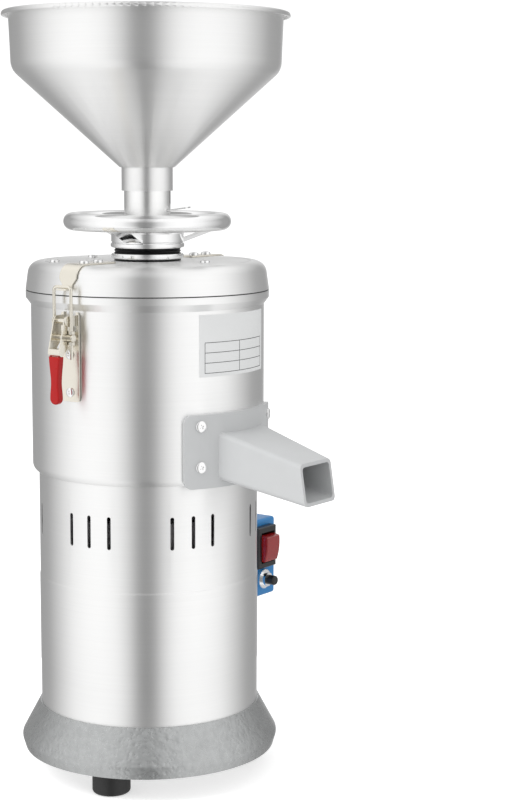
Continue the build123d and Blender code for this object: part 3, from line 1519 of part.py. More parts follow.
with BuildPart() as motor_rotor:
    with BuildSketch(Plane.XY.offset(core_bottom)):
        Circle(core_bore_radius - rotor_core_gap)
        Circle(shaft_core_radius + running, mode=Mode.SUBTRACT)
    extrude(amount=core_height)
    for seat, direction in ((core_bottom, -1), (core_top, 1)):
        with BuildSketch(Plane.XY.offset(seat)):
            Circle(core_bore_radius - 3)
            Circle(core_bore_radius - 17, mode=Mode.SUBTRACT)
        extrude(amount=direction * rotor_end_ring)
        with BuildSketch(Plane.XY.offset(seat + direction * rotor_end_ring)):
            with PolarLocations(core_bore_radius - 10, rotor_bar_count):
                Rectangle(9, 2)
        extrude(amount=direction * rotor_end_ring)
save(motor_rotor.part, "motor_rotor")

with BuildPart() as cooling_fan:
    with BuildSketch(Plane.XY.offset(shaft_bottom)):
        Circle(fan_radius)
        Circle(shaft_fan_radius + running, mode=Mode.SUBTRACT)
    extrude(amount=fan_disc)
    with BuildSketch(Plane.XY.offset(shaft_bottom)):
        Circle(fan_hub_radius)
        Circle(shaft_fan_radius + running, mode=Mode.SUBTRACT)
    extrude(amount=fan_height)
    with BuildSketch(Plane.XY.offset(shaft_bottom + fan_disc)):
        blade_middle = (fan_hub_radius + fan_radius) / 2
        with PolarLocations(blade_middle, fan_blade_count):
            Rectangle(fan_radius - fan_hub_radius, fan_blade_thickness, rotation=9)
        Circle(fan_hub_radius - 2, mode=Mode.SUBTRACT)
    extrude(amount=fan_height - fan_disc - 2)
save(cooling_fan.part, "cooling_fan")

# Scraper impeller: four blades that sweep the paste to the outlet
blade_bottom = impeller_seat + impeller_hub_height - impeller_disc - blade_height
blade_tip = bowl_radius - blade_tip_gap
with BuildPart() as scraper_impeller:
    with BuildSketch(Plane.XY.offset(impeller_top - impeller_disc)):
        Circle(impeller_disc_radius)
    extrude(amount=impeller_disc)
    with BuildSketch(Plane.XY.offset(impeller_seat)):
        Circle(impeller_hub_radius)
    extrude(amount=impeller_hub_height)
    for k in range(blade_count):
        turn = Rot(0, 0, 45 + k * 360 / blade_count)
        with BuildSketch(Plane(turn * Location(Plane.XZ))):
            with BuildLine():
                Polyline(
                    (blade_inner_radius, blade_bottom),
                    (blade_tip - 7, blade_bottom),
                    (blade_tip, blade_bottom + 7),
                    (blade_tip, impeller_top - impeller_disc),
                    (blade_inner_radius, impeller_top - impeller_disc),
                    close=True,
                )
            make_face()
        extrude(amount=blade_thickness / 2, both=True)
    Cylinder(shaft_rotor_radius + running, 4 * impeller_top, mode=Mode.SUBTRACT)
save(scraper_impeller.part, "scraper_impeller")

# Grinding rotor and stator: matching toothed cones with the grinding gap between them
cone_bottom = impeller_top + rotor_foot
stator_offset = grinding_gap / math.cos(math.radians(cone_angle))


def teeth_places(count, radius, height, lean, start=0.0):
    """Places for tooth cutters that lie on the cone's surface at a radius and a height."""
    return [
        Rot(0, 0, start + k * 360 / count)
        * Pos(radius, 0, height) * Rot(0, -cone_angle, 0) * Rot(lean, 0, 0)
        for k in range(count)
    ]


coarse_middle = rotor_top - coarse_height / 2
coarse_radius = rotor_top_radius + cone_slope * coarse_height / 2
fine_middle = (cone_bottom + rotor_top - coarse_height) / 2
fine_radius = rotor_bottom_radius - cone_slope * (fine_middle - cone_bottom)
fine_length = rotor_top - coarse_height - cone_bottom
with BuildPart() as grinding_rotor:
    with BuildSketch(Plane.XZ):
        with BuildLine():
            Polyline(
                (shaft_rotor_radius + running, impeller_top),
                (rotor_bottom_radius, impeller_top),
                (rotor_bottom_radius, cone_bottom),
                (rotor_top_radius, rotor_top),
                (shaft_rotor_radius + running, rotor_top),
                close=True,
            )
        make_face()
    revolve(axis=Axis.Z)
    with Locations(*teeth_places(coarse_teeth, coarse_radius, coarse_middle, coarse_lean)):
        Box(2 * coarse_depth, coarse_width, 1.25 * coarse_height, mode=Mode.SUBTRACT)
    with Locations(*teeth_places(fine_teeth, fine_radius, fine_middle, fine_lean)):
        Box(2 * fine_depth, fine_width, 1.1 * fine_length, mode=Mode.SUBTRACT)
save(grinding_rotor.part, "grinding_rotor")

with BuildPart() as grinding_stator:
    with BuildSketch(Plane.XZ):
        with BuildLine():
            Polyline(
                (rotor_bottom_radius + stator_offset, stator_bottom),
                (stator_ring_radius, stator_bottom),
                (stator_ring_radius, stator_top),
                (rotor_top_radius + stator_offset + 2, stator_top),
                (rotor_top_radius + stator_offset, rotor_top),
                close=True,
            )
        make_face()
    revolve(axis=Axis.Z)
    with Locations(*teeth_places(coarse_teeth, coarse_radius + stator_offset, coarse_middle + 3,
                                 -coarse_lean)):
        Box(2 * coarse_depth, coarse_width, 1.3 * coarse_height, mode=Mode.SUBTRACT)
    with Locations(*teeth_places(fine_teeth, fine_radius + stator_offset, fine_middle, -fine_lean)):
        Box(2 * fine_depth, fine_width, 1.1 * fine_length, mode=Mode.SUBTRACT)
save(grinding_stator.part, "grinding_stator")

# Rotor nut: a domed nut that spreads the falling nuts into the teeth
with BuildPart() as rotor_nut:
    with BuildSketch(Plane.XY.offset(rotor_top)):
        RegularPolygon(nut_radius, 6, major_radius=True)
    extrude(amount=nut_height / 2)
    with BuildSketch(Plane.XY.offset(rotor_top + nut_height / 2)):
        Circle(nut_radius * math.cos(math.pi / 6))
    extrude(amount=nut_height / 2, taper=28)
    fillet(rotor_nut.edges().filter_by(GeomType.CIRCLE).group_by(Axis.Z)[-1], 2)
    with Locations((0, 0, rotor_top)):
        Cylinder(shaft_thread_radius + running, nut_height - 3,
                 align=(Align.CENTER, Align.CENTER, Align.MIN), mode=Mode.SUBTRACT)
save(rotor_nut.part, "rotor_nut")
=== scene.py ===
"""Looks of the peanut butter machine, laid out as an add-on and run as a script.

Metres, +Z up, origin on the machine's axis at the bottom of its feet, +X out through the spout.
"""
import json
import math

import bmesh
import bpy
from bpy.props import FloatProperty, FloatVectorProperty, PointerProperty
from bpy.types import Operator, Panel, PropertyGroup
from mathutils import Matrix, Quaternion, Vector

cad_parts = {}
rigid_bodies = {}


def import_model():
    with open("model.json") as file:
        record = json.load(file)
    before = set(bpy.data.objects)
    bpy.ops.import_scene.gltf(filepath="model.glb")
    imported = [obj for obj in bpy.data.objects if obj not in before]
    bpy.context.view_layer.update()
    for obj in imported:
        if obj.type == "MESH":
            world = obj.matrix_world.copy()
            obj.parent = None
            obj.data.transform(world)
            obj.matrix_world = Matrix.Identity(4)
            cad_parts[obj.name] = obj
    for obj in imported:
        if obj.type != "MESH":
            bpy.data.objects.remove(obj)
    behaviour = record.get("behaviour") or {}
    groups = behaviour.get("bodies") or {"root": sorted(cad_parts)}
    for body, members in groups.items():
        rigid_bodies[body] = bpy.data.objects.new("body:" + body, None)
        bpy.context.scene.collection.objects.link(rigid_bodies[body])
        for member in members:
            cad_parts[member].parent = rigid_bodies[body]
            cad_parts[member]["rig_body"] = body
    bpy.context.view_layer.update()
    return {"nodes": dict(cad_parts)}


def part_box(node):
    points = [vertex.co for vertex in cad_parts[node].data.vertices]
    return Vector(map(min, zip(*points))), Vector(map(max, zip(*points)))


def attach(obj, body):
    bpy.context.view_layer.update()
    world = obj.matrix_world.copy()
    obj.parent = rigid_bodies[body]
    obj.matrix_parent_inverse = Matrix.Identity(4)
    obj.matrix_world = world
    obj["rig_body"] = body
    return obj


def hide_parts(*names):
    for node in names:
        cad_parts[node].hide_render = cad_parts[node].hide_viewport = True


bl_info = {
    "name": "Peanut butter machine",
    "version": (1, 0, 0),
    "blender": (4, 5, 0),
    "location": "View3D > Sidebar > Grinder",
    "description": "Finishes and small pieces of an upright nut grinder",
    "category": "Object",
}

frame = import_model()
NODES = frame["nodes"]
ROOT = "machine_body"
MM = 0.001


# Sizes and colours that a user may change
def colour(name, description, default):
    return FloatVectorProperty(name=name, description=description, subtype="COLOR", size=3,
                               min=0.0, max=1.0, default=default)


def length(name, description, default):
    return FloatProperty(name=name, description=description, subtype="DISTANCE", unit="LENGTH",
                         min=0.0, default=default, precision=5)


def share(name, description, default):
    return FloatProperty(name=name, description=description, subtype="FACTOR", min=0.0, max=1.0,
                         default=default)


class GrinderFinishes(PropertyGroup):
    """Colours and polish of the machine's surfaces."""

    stainless: colour("Stainless sheet", "Colour of the shells, the lid and the hopper", (0.94, 0.94, 0.935))
    stainless_roughness: share("Sheet roughness", "How satin the polished sheet is", 0.34)
    stainless_grain: share("Sheet grain", "How far the brushing stretches reflections", 0.85)
    cast_paint: colour("Hammered paint", "Colour of the base casting", (0.47, 0.48, 0.48))
    spout_paint: colour("Spout paint", "Colour of the satin paint on the spout", (0.63, 0.64, 0.645))
    zinc: colour("Latch zinc", "Warm zinc plate of the draw latches", (0.83, 0.79, 0.70))
    grip: colour("Grip vinyl", "Dipped vinyl on the latch handles", (0.44, 0.004, 0.004))
    box: colour("Switch box", "Moulded plastic of the switch box", (0.020, 0.235, 0.58))
    rocker: colour("Rocker", "Red plastic of the rocker", (0.42, 0.012, 0.014))


class GrinderSizes(PropertyGroup):
    """Sizes of the small pieces made here."""

    wheel_ring: length("Wheel ring radius", "Middle radius of the handwheel's ring", 0.0662)
    wheel_tube: length("Wheel tube radius", "Radius of the handwheel's tube", 0.0076)
    thread_pitch: length("Neck pitch", "Pitch of the adjusting thread", 0.0024)
    thread_depth: length("Neck thread depth", "How far the thread's crest stands out", 0.0006)
    recess_width: share("Recess width", "Width of a screw's cross as a share of its radius", 0.26)
    plate_rule: length("Plate rule", "Width of the lines on the bare plate", 0.0005)


class GrinderStage(PropertyGroup):
    """Floor, light and camera."""

    floor_size: length("Floor size", "Side of the square floor", 24.0)
    sky: FloatProperty(name="Sky", description="Strength of the plain light all round", min=0.0, default=0.72)
    key: FloatProperty(name="Key lamp", description="Power of the soft lamp above", subtype="POWER",
                       unit="POWER", min=0.0, default=34.0)
    lens: FloatProperty(name="Lens", description="Focal length of the camera in millimetres", min=1.0,
                        default=82.67)


# Shader helpers
def new_material(name):
    """A fresh material with its tree and its principled shader."""
    material = bpy.data.materials.new(name)
    material.use_nodes = True
    tree = material.node_tree
    shader = tree.nodes["Principled BSDF"]
    return material, tree, shader


def put(tree, kind, inputs=None, **settings):
    """Add a node with its settings and the values of its inputs."""
    node = tree.nodes.new(kind)
    for key, value in settings.items():
        setattr(node, key, value)
    for key, value in (inputs or {}).items():
        node.inputs[key].default_value = value
    return node


def object_pattern(tree, scale, kind="ShaderNodeTexNoise", **inputs):
    """A pattern on object coordinates, stretched by a scale on each axis."""
    place = put(tree, "ShaderNodeTexCoord")
    mapping = put(tree, "ShaderNodeMapping", {"Scale": scale})
    pattern = put(tree, kind, inputs)
    tree.links.new(place.outputs["Object"], mapping.inputs["Vector"])
    tree.links.new(mapping.outputs["Vector"], pattern.inputs["Vector"])
    return pattern


def ranged(tree, output, low, high, start=0.0, end=1.0):
    """Map a pattern's value to the span from low to high."""
    node = put(tree, "ShaderNodeMapRange", {"From Min": start, "From Max": end, "To Min": low, "To Max": high})
    tree.links.new(output, node.inputs["Value"])
    return node.outputs["Result"]


def shade_between(tree, output, dark, light):
    """Blend two colours by a pattern's value."""
    node = put(tree, "ShaderNodeMix", data_type="RGBA")
    node.inputs[6].default_value = (*dark, 1.0)
    node.inputs[7].default_value = (*light, 1.0)
    tree.links.new(output, node.inputs[0])
    return node.outputs[2]


def blended(tree, share_output, first, second):
    """Blend two linked colours by a linked share."""
    node = put(tree, "ShaderNodeMix", data_type="RGBA")
    tree.links.new(share_output, node.inputs[0])
    tree.links.new(first, node.inputs[6])
    tree.links.new(second, node.inputs[7])
    return node.outputs[2]


def ramp(tree, stops):
    """A grey ramp from (place, level) stops that start at 0 and end at 1."""
    node = put(tree, "ShaderNodeValToRGB")
    elements = node.color_ramp.elements
    for element, (place, level) in zip(elements, (stops[0], stops[-1])):
        element.position = place
        element.color = (level, level, level, 1)
    for place, level in stops[1:-1]:
        elements.new(place).color = (level, level, level, 1)
    return node


def raise_bump(tree, shader, output, strength, distance):
    """Feed a height pattern to the shader's normal."""
    node = put(tree, "ShaderNodeBump", {"Strength": strength, "Distance": distance})
    tree.links.new(output, node.inputs["Height"])
    tree.links.new(node.outputs["Normal"], shader.inputs["Normal"])
    return node


def times(values, factor):
    return tuple(min(1.0, v * factor) for v in values)


def plain_finish(name, base, metallic, roughness, grain, spread=0.05, bump=0.1, depth=0.00004, **inputs):
    """A finish with fine mottling: its colour, polish and surface vary at the given grain."""
    material, tree, shader = new_material(name)
    shader.inputs["Metallic"].default_value = metallic
    for key, value in inputs.items():
        shader.inputs[key.replace("_", " ")].default_value = value
    fine = object_pattern(tree, (1, 1, 1), Scale=grain, Detail=4.0, Roughness=0.6)
    broad = object_pattern(tree, (1, 1, 1), Scale=grain / 12, Detail=3.0)
    tint = shade_between(tree, broad.outputs["Fac"], times(base, 1 - spread), times(base, 1 + spread))
    tree.links.new(tint, shader.inputs["Base Color"])
    polish = ranged(tree, fine.outputs["Fac"], roughness * 0.85, min(1.0, roughness * 1.15), 0.3, 0.7)
    tree.links.new(polish, shader.inputs["Roughness"])
    raise_bump(tree, shader, fine.outputs["Fac"], bump, depth)
    return material


def brushed_sheet(name, base, roughness, grain, lines=(6, 6, 900), lines_bump=0.05):
    """Satin stainless sheet with fine brushing round the machine's axis."""
    material, tree, shader = new_material(name)
    shader.inputs["Metallic"].default_value = 1.0
    shader.inputs["Anisotropic"].default_value = grain
    shader.inputs["Anisotropic Rotation"].default_value = 0.25
    tangent = put(tree, "ShaderNodeTangent", direction_type="RADIAL", axis="Z")
    tree.links.new(tangent.outputs["Tangent"], shader.inputs["Tangent"])
    brush = object_pattern(tree, lines, Scale=1.0, Detail=3.0, Roughness=0.7)
    cloud = object_pattern(tree, (1, 1, 1), Scale=9.0, Detail=3.0)
    tint = shade_between(tree, brush.outputs["Fac"], times(base, 0.96), times(base, 1.02))
    tree.links.new(tint, shader.inputs["Base Color"])
    polish = ranged(tree, cloud.outputs["Fac"], roughness * 0.93, roughness * 1.07, 0.3, 0.7)
    tree.links.new(polish, shader.inputs["Roughness"])
    raise_bump(tree, shader, brush.outputs["Fac"], lines_bump, 0.00003)
    return material


def hammered_paint(name, base):
    """Silver hammer-finish paint: soft dimples with glinting edges."""
    material, tree, shader = new_material(name)
    shader.inputs["Metallic"].default_value = 0.85
    shader.inputs["Coat Weight"].default_value = 0.35
    shader.inputs["Coat Roughness"].default_value = 0.12
    warp = object_pattern(tree, (1, 1, 1), Scale=160.0, Detail=2.0)
    cells = object_pattern(tree, (1, 1, 1), "ShaderNodeTexVoronoi", Scale=330.0, Randomness=1.0)
    cells.feature = "SMOOTH_F1"
    blend = put(tree, "ShaderNodeMath", operation="MULTIPLY_ADD")
    blend.inputs[1].default_value = 0.6
    tree.links.new(cells.outputs["Distance"], blend.inputs[0])
    tree.links.new(warp.outputs["Fac"], blend.inputs[2])
    tint = shade_between(tree, warp.outputs["Fac"], times(base, 0.84), times(base, 1.12))
    tree.links.new(tint, shader.inputs["Base Color"])
    polish = ranged(tree, cells.outputs["Distance"], 0.22, 0.42)
    tree.links.new(polish, shader.inputs["Roughness"])
    raise_bump(tree, shader, blend.outputs["Value"], 0.55, 0.0007)
    return material


# Mesh helpers
def own_object(name, mesh, material, body):
    """A piece of its own that rides on a body and takes a material slot's finish."""
    piece = bpy.data.objects.new(name, mesh)
    bpy.context.scene.collection.objects.link(piece)
    if material is not None:
        mesh.materials.clear()
        mesh.materials.append(material)
    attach(piece, body)
    return piece


def smooth_by_angle(mesh, degrees=32.0):
    """Smooth shading with creases where faces meet at more than the angle."""
    mesh.shade_smooth()
    mesh.set_sharp_from_angle(angle=math.radians(degrees))


def merged_copy(node, name, material, degrees=32.0, bevel=0.0):
    """A copy of a CAD node with its triangles joined, shaded smooth and its edges eased."""
    source = NODES[node]
    mesh = source.data.copy()
    mesh.name = name
    work = bmesh.new()
    work.from_mesh(mesh)
    bmesh.ops.remove_doubles(work, verts=work.verts, dist=0.000004)
    bmesh.ops.dissolve_limit(work, angle_limit=math.radians(0.2), verts=work.verts, edges=work.edges)
    work.to_mesh(mesh)
    work.free()
    for attribute in [a.name for a in mesh.attributes if a.name in ("custom_normal", "sharp_face")]:
        mesh.attributes.remove(mesh.attributes[attribute])
    smooth_by_angle(mesh, degrees)
    piece = own_object(name, mesh, material, source["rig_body"])
    if bevel:
        ease = piece.modifiers.new("eased_edges", "BEVEL")
        ease.width = bevel
        ease.segments = 2
        ease.limit_method = "ANGLE"
        ease.angle_limit = math.radians(40)
        ease.harden_normals = False
    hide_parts(node)
    return piece


def paint(material, *nodes):
    """Give CAD nodes a finish without touching their shape."""
    for node in nodes:
        mesh = NODES[node].data
        mesh.materials.clear()
        mesh.materials.append(material)


def revolved(name, profile, steps=96):
    """A mesh turned about Z from (radius, height) points that run from the axis or a rim to the other."""
    work = bmesh.new()
    rings = []
    for radius, height in profile:
        if radius < 1e-7:
            rings.append([work.verts.new((0, 0, height))])
        else:
            rings.append([
                work.verts.new((radius * math.cos(2 * math.pi * k / steps),
                                radius * math.sin(2 * math.pi * k / steps), height))
                for k in range(steps)
            ])
    for low, high in zip(rings, rings[1:]):
        for k in range(steps):
            m = (k + 1) % steps
            corners = [low[k % len(low)], low[m % len(low)], high[m % len(high)], high[k % len(high)]]
            unique = list(dict.fromkeys(corners))
            if len(unique) > 2:
                work.faces.new(unique)
    bmesh.ops.recalc_face_normals(work, faces=work.faces)
    mesh = bpy.data.meshes.new(name)
    work.to_mesh(mesh)
    work.free()
    return mesh


# Geometry node helpers
def node_tree(name, sizes):
    """A geometry tree with an input for the carrying mesh and one for each named size."""
    tree = bpy.data.node_groups.new(name, "GeometryNodeTree")
    tree.interface.new_socket("Geometry", in_out="INPUT", socket_type="NodeSocketGeometry")
    for label, kind, default in sizes:
        socket = tree.interface.new_socket(label, in_out="INPUT", socket_type=kind)
        if default is not None:
            socket.default_value = default
    tree.interface.new_socket("Geometry", in_out="OUTPUT", socket_type="NodeSocketGeometry")
    entry = tree.nodes.new("NodeGroupInput")
    end = tree.nodes.new("NodeGroupOutput")
    return tree, entry, end


def grown_mesh(name, tree, carrier, values):
    """Run a geometry tree on a carrying mesh and return its plain mesh."""
    holder = bpy.data.objects.new(name + "_carrier", carrier)
    bpy.context.scene.collection.objects.link(holder)
    modifier = holder.modifiers.new("grow", "NODES")
    modifier.node_group = tree
    for item in tree.interface.items_tree:
        if item.item_type == "SOCKET" and item.in_out == "INPUT" and item.name in values:
            modifier[item.identifier] = values[item.name]
    depsgraph = bpy.context.evaluated_depsgraph_get()
    mesh = bpy.data.meshes.new_from_object(holder.evaluated_get(depsgraph))
    mesh.name = name
    holder.modifiers.remove(modifier)
    bpy.data.objects.remove(holder)
    return mesh


def seat_points(name, seats):
    """A mesh of bare points at screw seats, each with its outward direction."""
    mesh = bpy.data.meshes.new(name)
    mesh.from_pydata([tuple(place) for place, _ in seats], [], [])
    outward = mesh.attributes.new("outward", "FLOAT_VECTOR", "POINT")
    outward.data.foreach_set("vector", [v for _, way in seats for v in way])
    return mesh


def unit_screw_head(recess, dome):
    """A head of radius 1 and height 1 with a cross recess: dome is the share of its rounded edge."""
    head = bpy.data.objects.new("head_blank", revolved("head_blank", [
        (0, 0), (1, 0), (1, 1 - dome),
        *[(1 - dome * 0.9 * (1 - math.cos(a)), 1 - dome + dome * math.sin(a) * 0.92)
          for a in [math.radians(k * 15) for k in range(1, 6)]],
        (0.3, 0.99), (0, 1.0),
    ], 40))
    cross_mesh = bpy.data.meshes.new("cross")
    work = bmesh.new()
    half, reach, floor = recess / 2, 0.56, 0.42
    for turn in (0, 90):
        made = bmesh.ops.create_cube(work, size=2.0)
        bmesh.ops.scale(work, vec=(reach, half, 0.5), verts=made["verts"])
        for v in made["verts"]:
            if v.co.z < 0:
                v.co.x *= 0.45
                v.co.y *= 0.6
            v.co.z += floor + 0.5
        bmesh.ops.rotate(work, cent=(0, 0, 0), matrix=Matrix.Rotation(math.radians(turn), 3, "Z"),
                         verts=made["verts"])
    work.to_mesh(cross_mesh)
    work.free()
    cross = bpy.data.objects.new("cross", cross_mesh)
    scene = bpy.context.scene.collection.objects
    scene.link(head)
    scene.link(cross)
    cut = head.modifiers.new("recess", "BOOLEAN")
    cut.operation = "DIFFERENCE"
    cut.solver = "EXACT"
    cut.use_self = True
    cut.object = cross
    depsgraph = bpy.context.evaluated_depsgraph_get()
    mesh = bpy.data.meshes.new_from_object(head.evaluated_get(depsgraph))
    head.modifiers.remove(cut)
    bpy.data.objects.remove(head)
    bpy.data.objects.remove(cross)
    smooth_by_angle(mesh, 30)
    source = bpy.data.objects.new("screw_head_source", mesh)
    return source


def screw_tree(head, material):
    """Screw heads on points, turned to each point's outward direction."""
    tree, entry, end = node_tree("screw_heads", [
        ("Head Radius", "NodeSocketFloat", 0.004),
        ("Head Height", "NodeSocketFloat", 0.002),
        ("Seed", "NodeSocketInt", 3),
    ])
    info = put(tree, "GeometryNodeObjectInfo", {"As Instance": True})
    info.inputs["Object"].default_value = head
    spread = tree.nodes.new("GeometryNodeInstanceOnPoints")
    outward = put(tree, "GeometryNodeInputNamedAttribute", data_type="FLOAT_VECTOR")
    outward.inputs["Name"].default_value = "outward"
    align = put(tree, "FunctionNodeAlignRotationToVector", axis="Z")
    spin = put(tree, "FunctionNodeRandomValue", data_type="FLOAT")
    spin_socket = [s for s in spin.inputs if s.name == "Max" and s.type == "VALUE"][0]
    spin_socket.default_value = math.pi
    about = put(tree, "FunctionNodeAxisAngleToRotation")
    turn = put(tree, "FunctionNodeRotateRotation", rotation_space="LOCAL")
    size = tree.nodes.new("ShaderNodeCombineXYZ")
    real = tree.nodes.new("GeometryNodeRealizeInstances")
    dress = tree.nodes.new("GeometryNodeSetMaterial")
    dress.inputs["Material"].default_value = material
    link = tree.links.new
    link(entry.outputs["Geometry"], spread.inputs["Points"])
    link(info.outputs["Geometry"], spread.inputs["Instance"])
    link(outward.outputs["Attribute"], align.inputs["Vector"])
    link(entry.outputs["Seed"], spin.inputs["Seed"])
    link([s for s in spin.outputs if s.type == "VALUE"][0], about.inputs["Angle"])
    link(align.outputs["Rotation"], turn.inputs["Rotation"])
    link(about.outputs["Rotation"], turn.inputs["Rotate By"])
    link(turn.outputs["Rotation"], spread.inputs["Rotation"])
    link(entry.outputs["Head Radius"], size.inputs["X"])
    link(entry.outputs["Head Radius"], size.inputs["Y"])
    link(entry.outputs["Head Height"], size.inputs["Z"])
    link(size.outputs["Vector"], spread.inputs["Scale"])
    link(spread.outputs["Instances"], real.inputs["Geometry"])
    link(real.outputs["Geometry"], dress.inputs["Geometry"])
    link(dress.outputs["Geometry"], end.inputs["Geometry"])
    return tree


def ring_tree(material):
    """A round tube bent into a ring."""
    tree, entry, end = node_tree("handwheel_ring", [
        ("Ring Radius", "NodeSocketFloat", 0.066),
        ("Tube Radius", "NodeSocketFloat", 0.0076),
    ])
    path = put(tree, "GeometryNodeCurvePrimitiveCircle", {"Resolution": 160})
    tube = put(tree, "GeometryNodeCurvePrimitiveCircle", {"Resolution": 40})
    sweep = tree.nodes.new("GeometryNodeCurveToMesh")
    smooth = put(tree, "GeometryNodeSetShadeSmooth")
    real = tree.nodes.new("GeometryNodeRealizeInstances")
    dress = tree.nodes.new("GeometryNodeSetMaterial")
    dress.inputs["Material"].default_value = material
    link = tree.links.new
    link(entry.outputs["Ring Radius"], path.inputs["Radius"])
    link(entry.outputs["Tube Radius"], tube.inputs["Radius"])
    link(path.outputs["Curve"], sweep.inputs["Curve"])
    link(tube.outputs["Curve"], sweep.inputs["Profile Curve"])
    link(sweep.outputs["Mesh"], smooth.inputs["Geometry"])
    link(smooth.outputs["Geometry"], real.inputs["Geometry"])
    link(real.outputs["Geometry"], dress.inputs["Geometry"])
    link(dress.outputs["Geometry"], end.inputs["Geometry"])
    return tree


def thread_tree(material):
    """A screw thread's crest as a helix, stood on every point of the carrying mesh."""
    tree, entry, end = node_tree("thread_helix", [
        ("Radius", "NodeSocketFloat", 0.029),
        ("Pitch", "NodeSocketFloat", 0.0024),
        ("Turns", "NodeSocketFloat", 3.0),
        ("Crest", "NodeSocketFloat", 0.0006),
        ("Steps", "NodeSocketInt", 64),
    ])
    helix = put(tree, "GeometryNodeCurveSpiral")
    crest = put(tree, "GeometryNodeCurvePrimitiveCircle", {"Resolution": 4})
    height = put(tree, "ShaderNodeMath", operation="MULTIPLY")
    sweep = put(tree, "GeometryNodeCurveToMesh", {"Fill Caps": True})
    stand = tree.nodes.new("GeometryNodeInstanceOnPoints")
    real = tree.nodes.new("GeometryNodeRealizeInstances")
    dress = tree.nodes.new("GeometryNodeSetMaterial")
    dress.inputs["Material"].default_value = material
    link = tree.links.new
    link(entry.outputs["Steps"], helix.inputs["Resolution"])
    link(entry.outputs["Turns"], helix.inputs["Rotations"])
    link(entry.outputs["Radius"], helix.inputs["Start Radius"])
    link(entry.outputs["Radius"], helix.inputs["End Radius"])
    link(entry.outputs["Pitch"], height.inputs[0])
    link(entry.outputs["Turns"], height.inputs[1])
    link(height.outputs["Value"], helix.inputs["Height"])
    link(entry.outputs["Crest"], crest.inputs["Radius"])
    link(helix.outputs["Curve"], sweep.inputs["Curve"])
    link(crest.outputs["Curve"], sweep.inputs["Profile Curve"])
    link(entry.outputs["Geometry"], stand.inputs["Points"])
    link(sweep.outputs["Mesh"], stand.inputs["Instance"])
    link(stand.outputs["Instances"], real.inputs["Geometry"])
    link(real.outputs["Geometry"], dress.inputs["Geometry"])
    link(dress.outputs["Geometry"], end.inputs["Geometry"])
    return tree


def around(azimuth, radius, height):
    """A point at an azimuth from -Y towards +X, in millimetres, given back in metres."""
    turn = math.radians(azimuth)
    return Vector((radius * math.sin(turn), -radius * math.cos(turn), height)) * MM


def outward(azimuth):
    return Vector((math.sin(math.radians(azimuth)), -math.cos(math.radians(azimuth)), 0))


UP = Vector((0, 0, 1))
SHARED = {}


def finish(key, maker):
    """Make a material once and share it."""
    if key not in SHARED:
        SHARED[key] = maker()
    return SHARED[key]


def settings():
    return bpy.context.scene.grinder_finishes


def sheet_metal():
    look = settings()
    return finish("sheet", lambda: brushed_sheet("polished_sheet", tuple(look.stainless),
                                                 look.stainless_roughness, look.stainless_grain))


def chrome():
    return finish("chrome", lambda: plain_finish("chrome_plate", (0.93, 0.93, 0.93), 1.0, 0.09, 140.0,
                                                 spread=0.02, bump=0.02))


def zinc_plate():
    return finish("zinc", lambda: plain_finish("zinc_plate", tuple(settings().zinc), 1.0, 0.2, 160.0,
                                               spread=0.04, bump=0.015))


def black_plastic():
    return finish("black_plastic", lambda: plain_finish("black_moulding", (0.018, 0.018, 0.019), 0.0, 0.3,
                                                        900.0, spread=0.2, bump=0.12))


# Operators, one for each group of pieces
class GRINDER_OT_sheet_metal(Operator):
    """Polished sheet on the shells, the lid, the hopper and the feed tube"""

    bl_idname = "grinder.sheet_metal"
    bl_label = "Sheet metal"

    def execute(self, context):
        steel = sheet_metal()
        for node, angle in (("hopper", 25), ("motor_shell", 12), ("upper_shell", 25), ("lid", 25),
                            ("feed_gate", 25)):
            merged_copy(node, f"{node}_polished", steel, degrees=angle)
        tube = brushed_sheet("polished_tube", (0.95, 0.95, 0.945), 0.2, 0.7)
        merged_copy("feed_tube", "feed_tube_polished", tube, degrees=25)
        merged_copy("grinding_bowl", "bowl_turned", steel, degrees=25)
        return {"FINISHED"}


class GRINDER_OT_castings(Operator):
    """Hammered paint on the base, satin paint on the spout"""

    bl_idname = "grinder.castings"
    bl_label = "Base and spout"

    def execute(self, context):
        look = settings()
        merged_copy("base_casting", "base_hammered", hammered_paint("hammered_paint", tuple(look.cast_paint)),
                    bevel=0.0006)
        satin = plain_finish("spout_satin_paint", tuple(look.spout_paint), 0.0, 0.38, 700.0, spread=0.03,
                             bump=0.16, depth=0.00006, Coat_Weight=0.12)
        merged_copy("discharge_spout", "spout_painted", satin, bevel=0.0011)
        rubber = plain_finish("foot_rubber", (0.016, 0.016, 0.016), 0.0, 0.46, 500.0, spread=0.2, bump=0.2)
        merged_copy("rubber_feet", "feet_moulded", rubber)
        return {"FINISHED"}


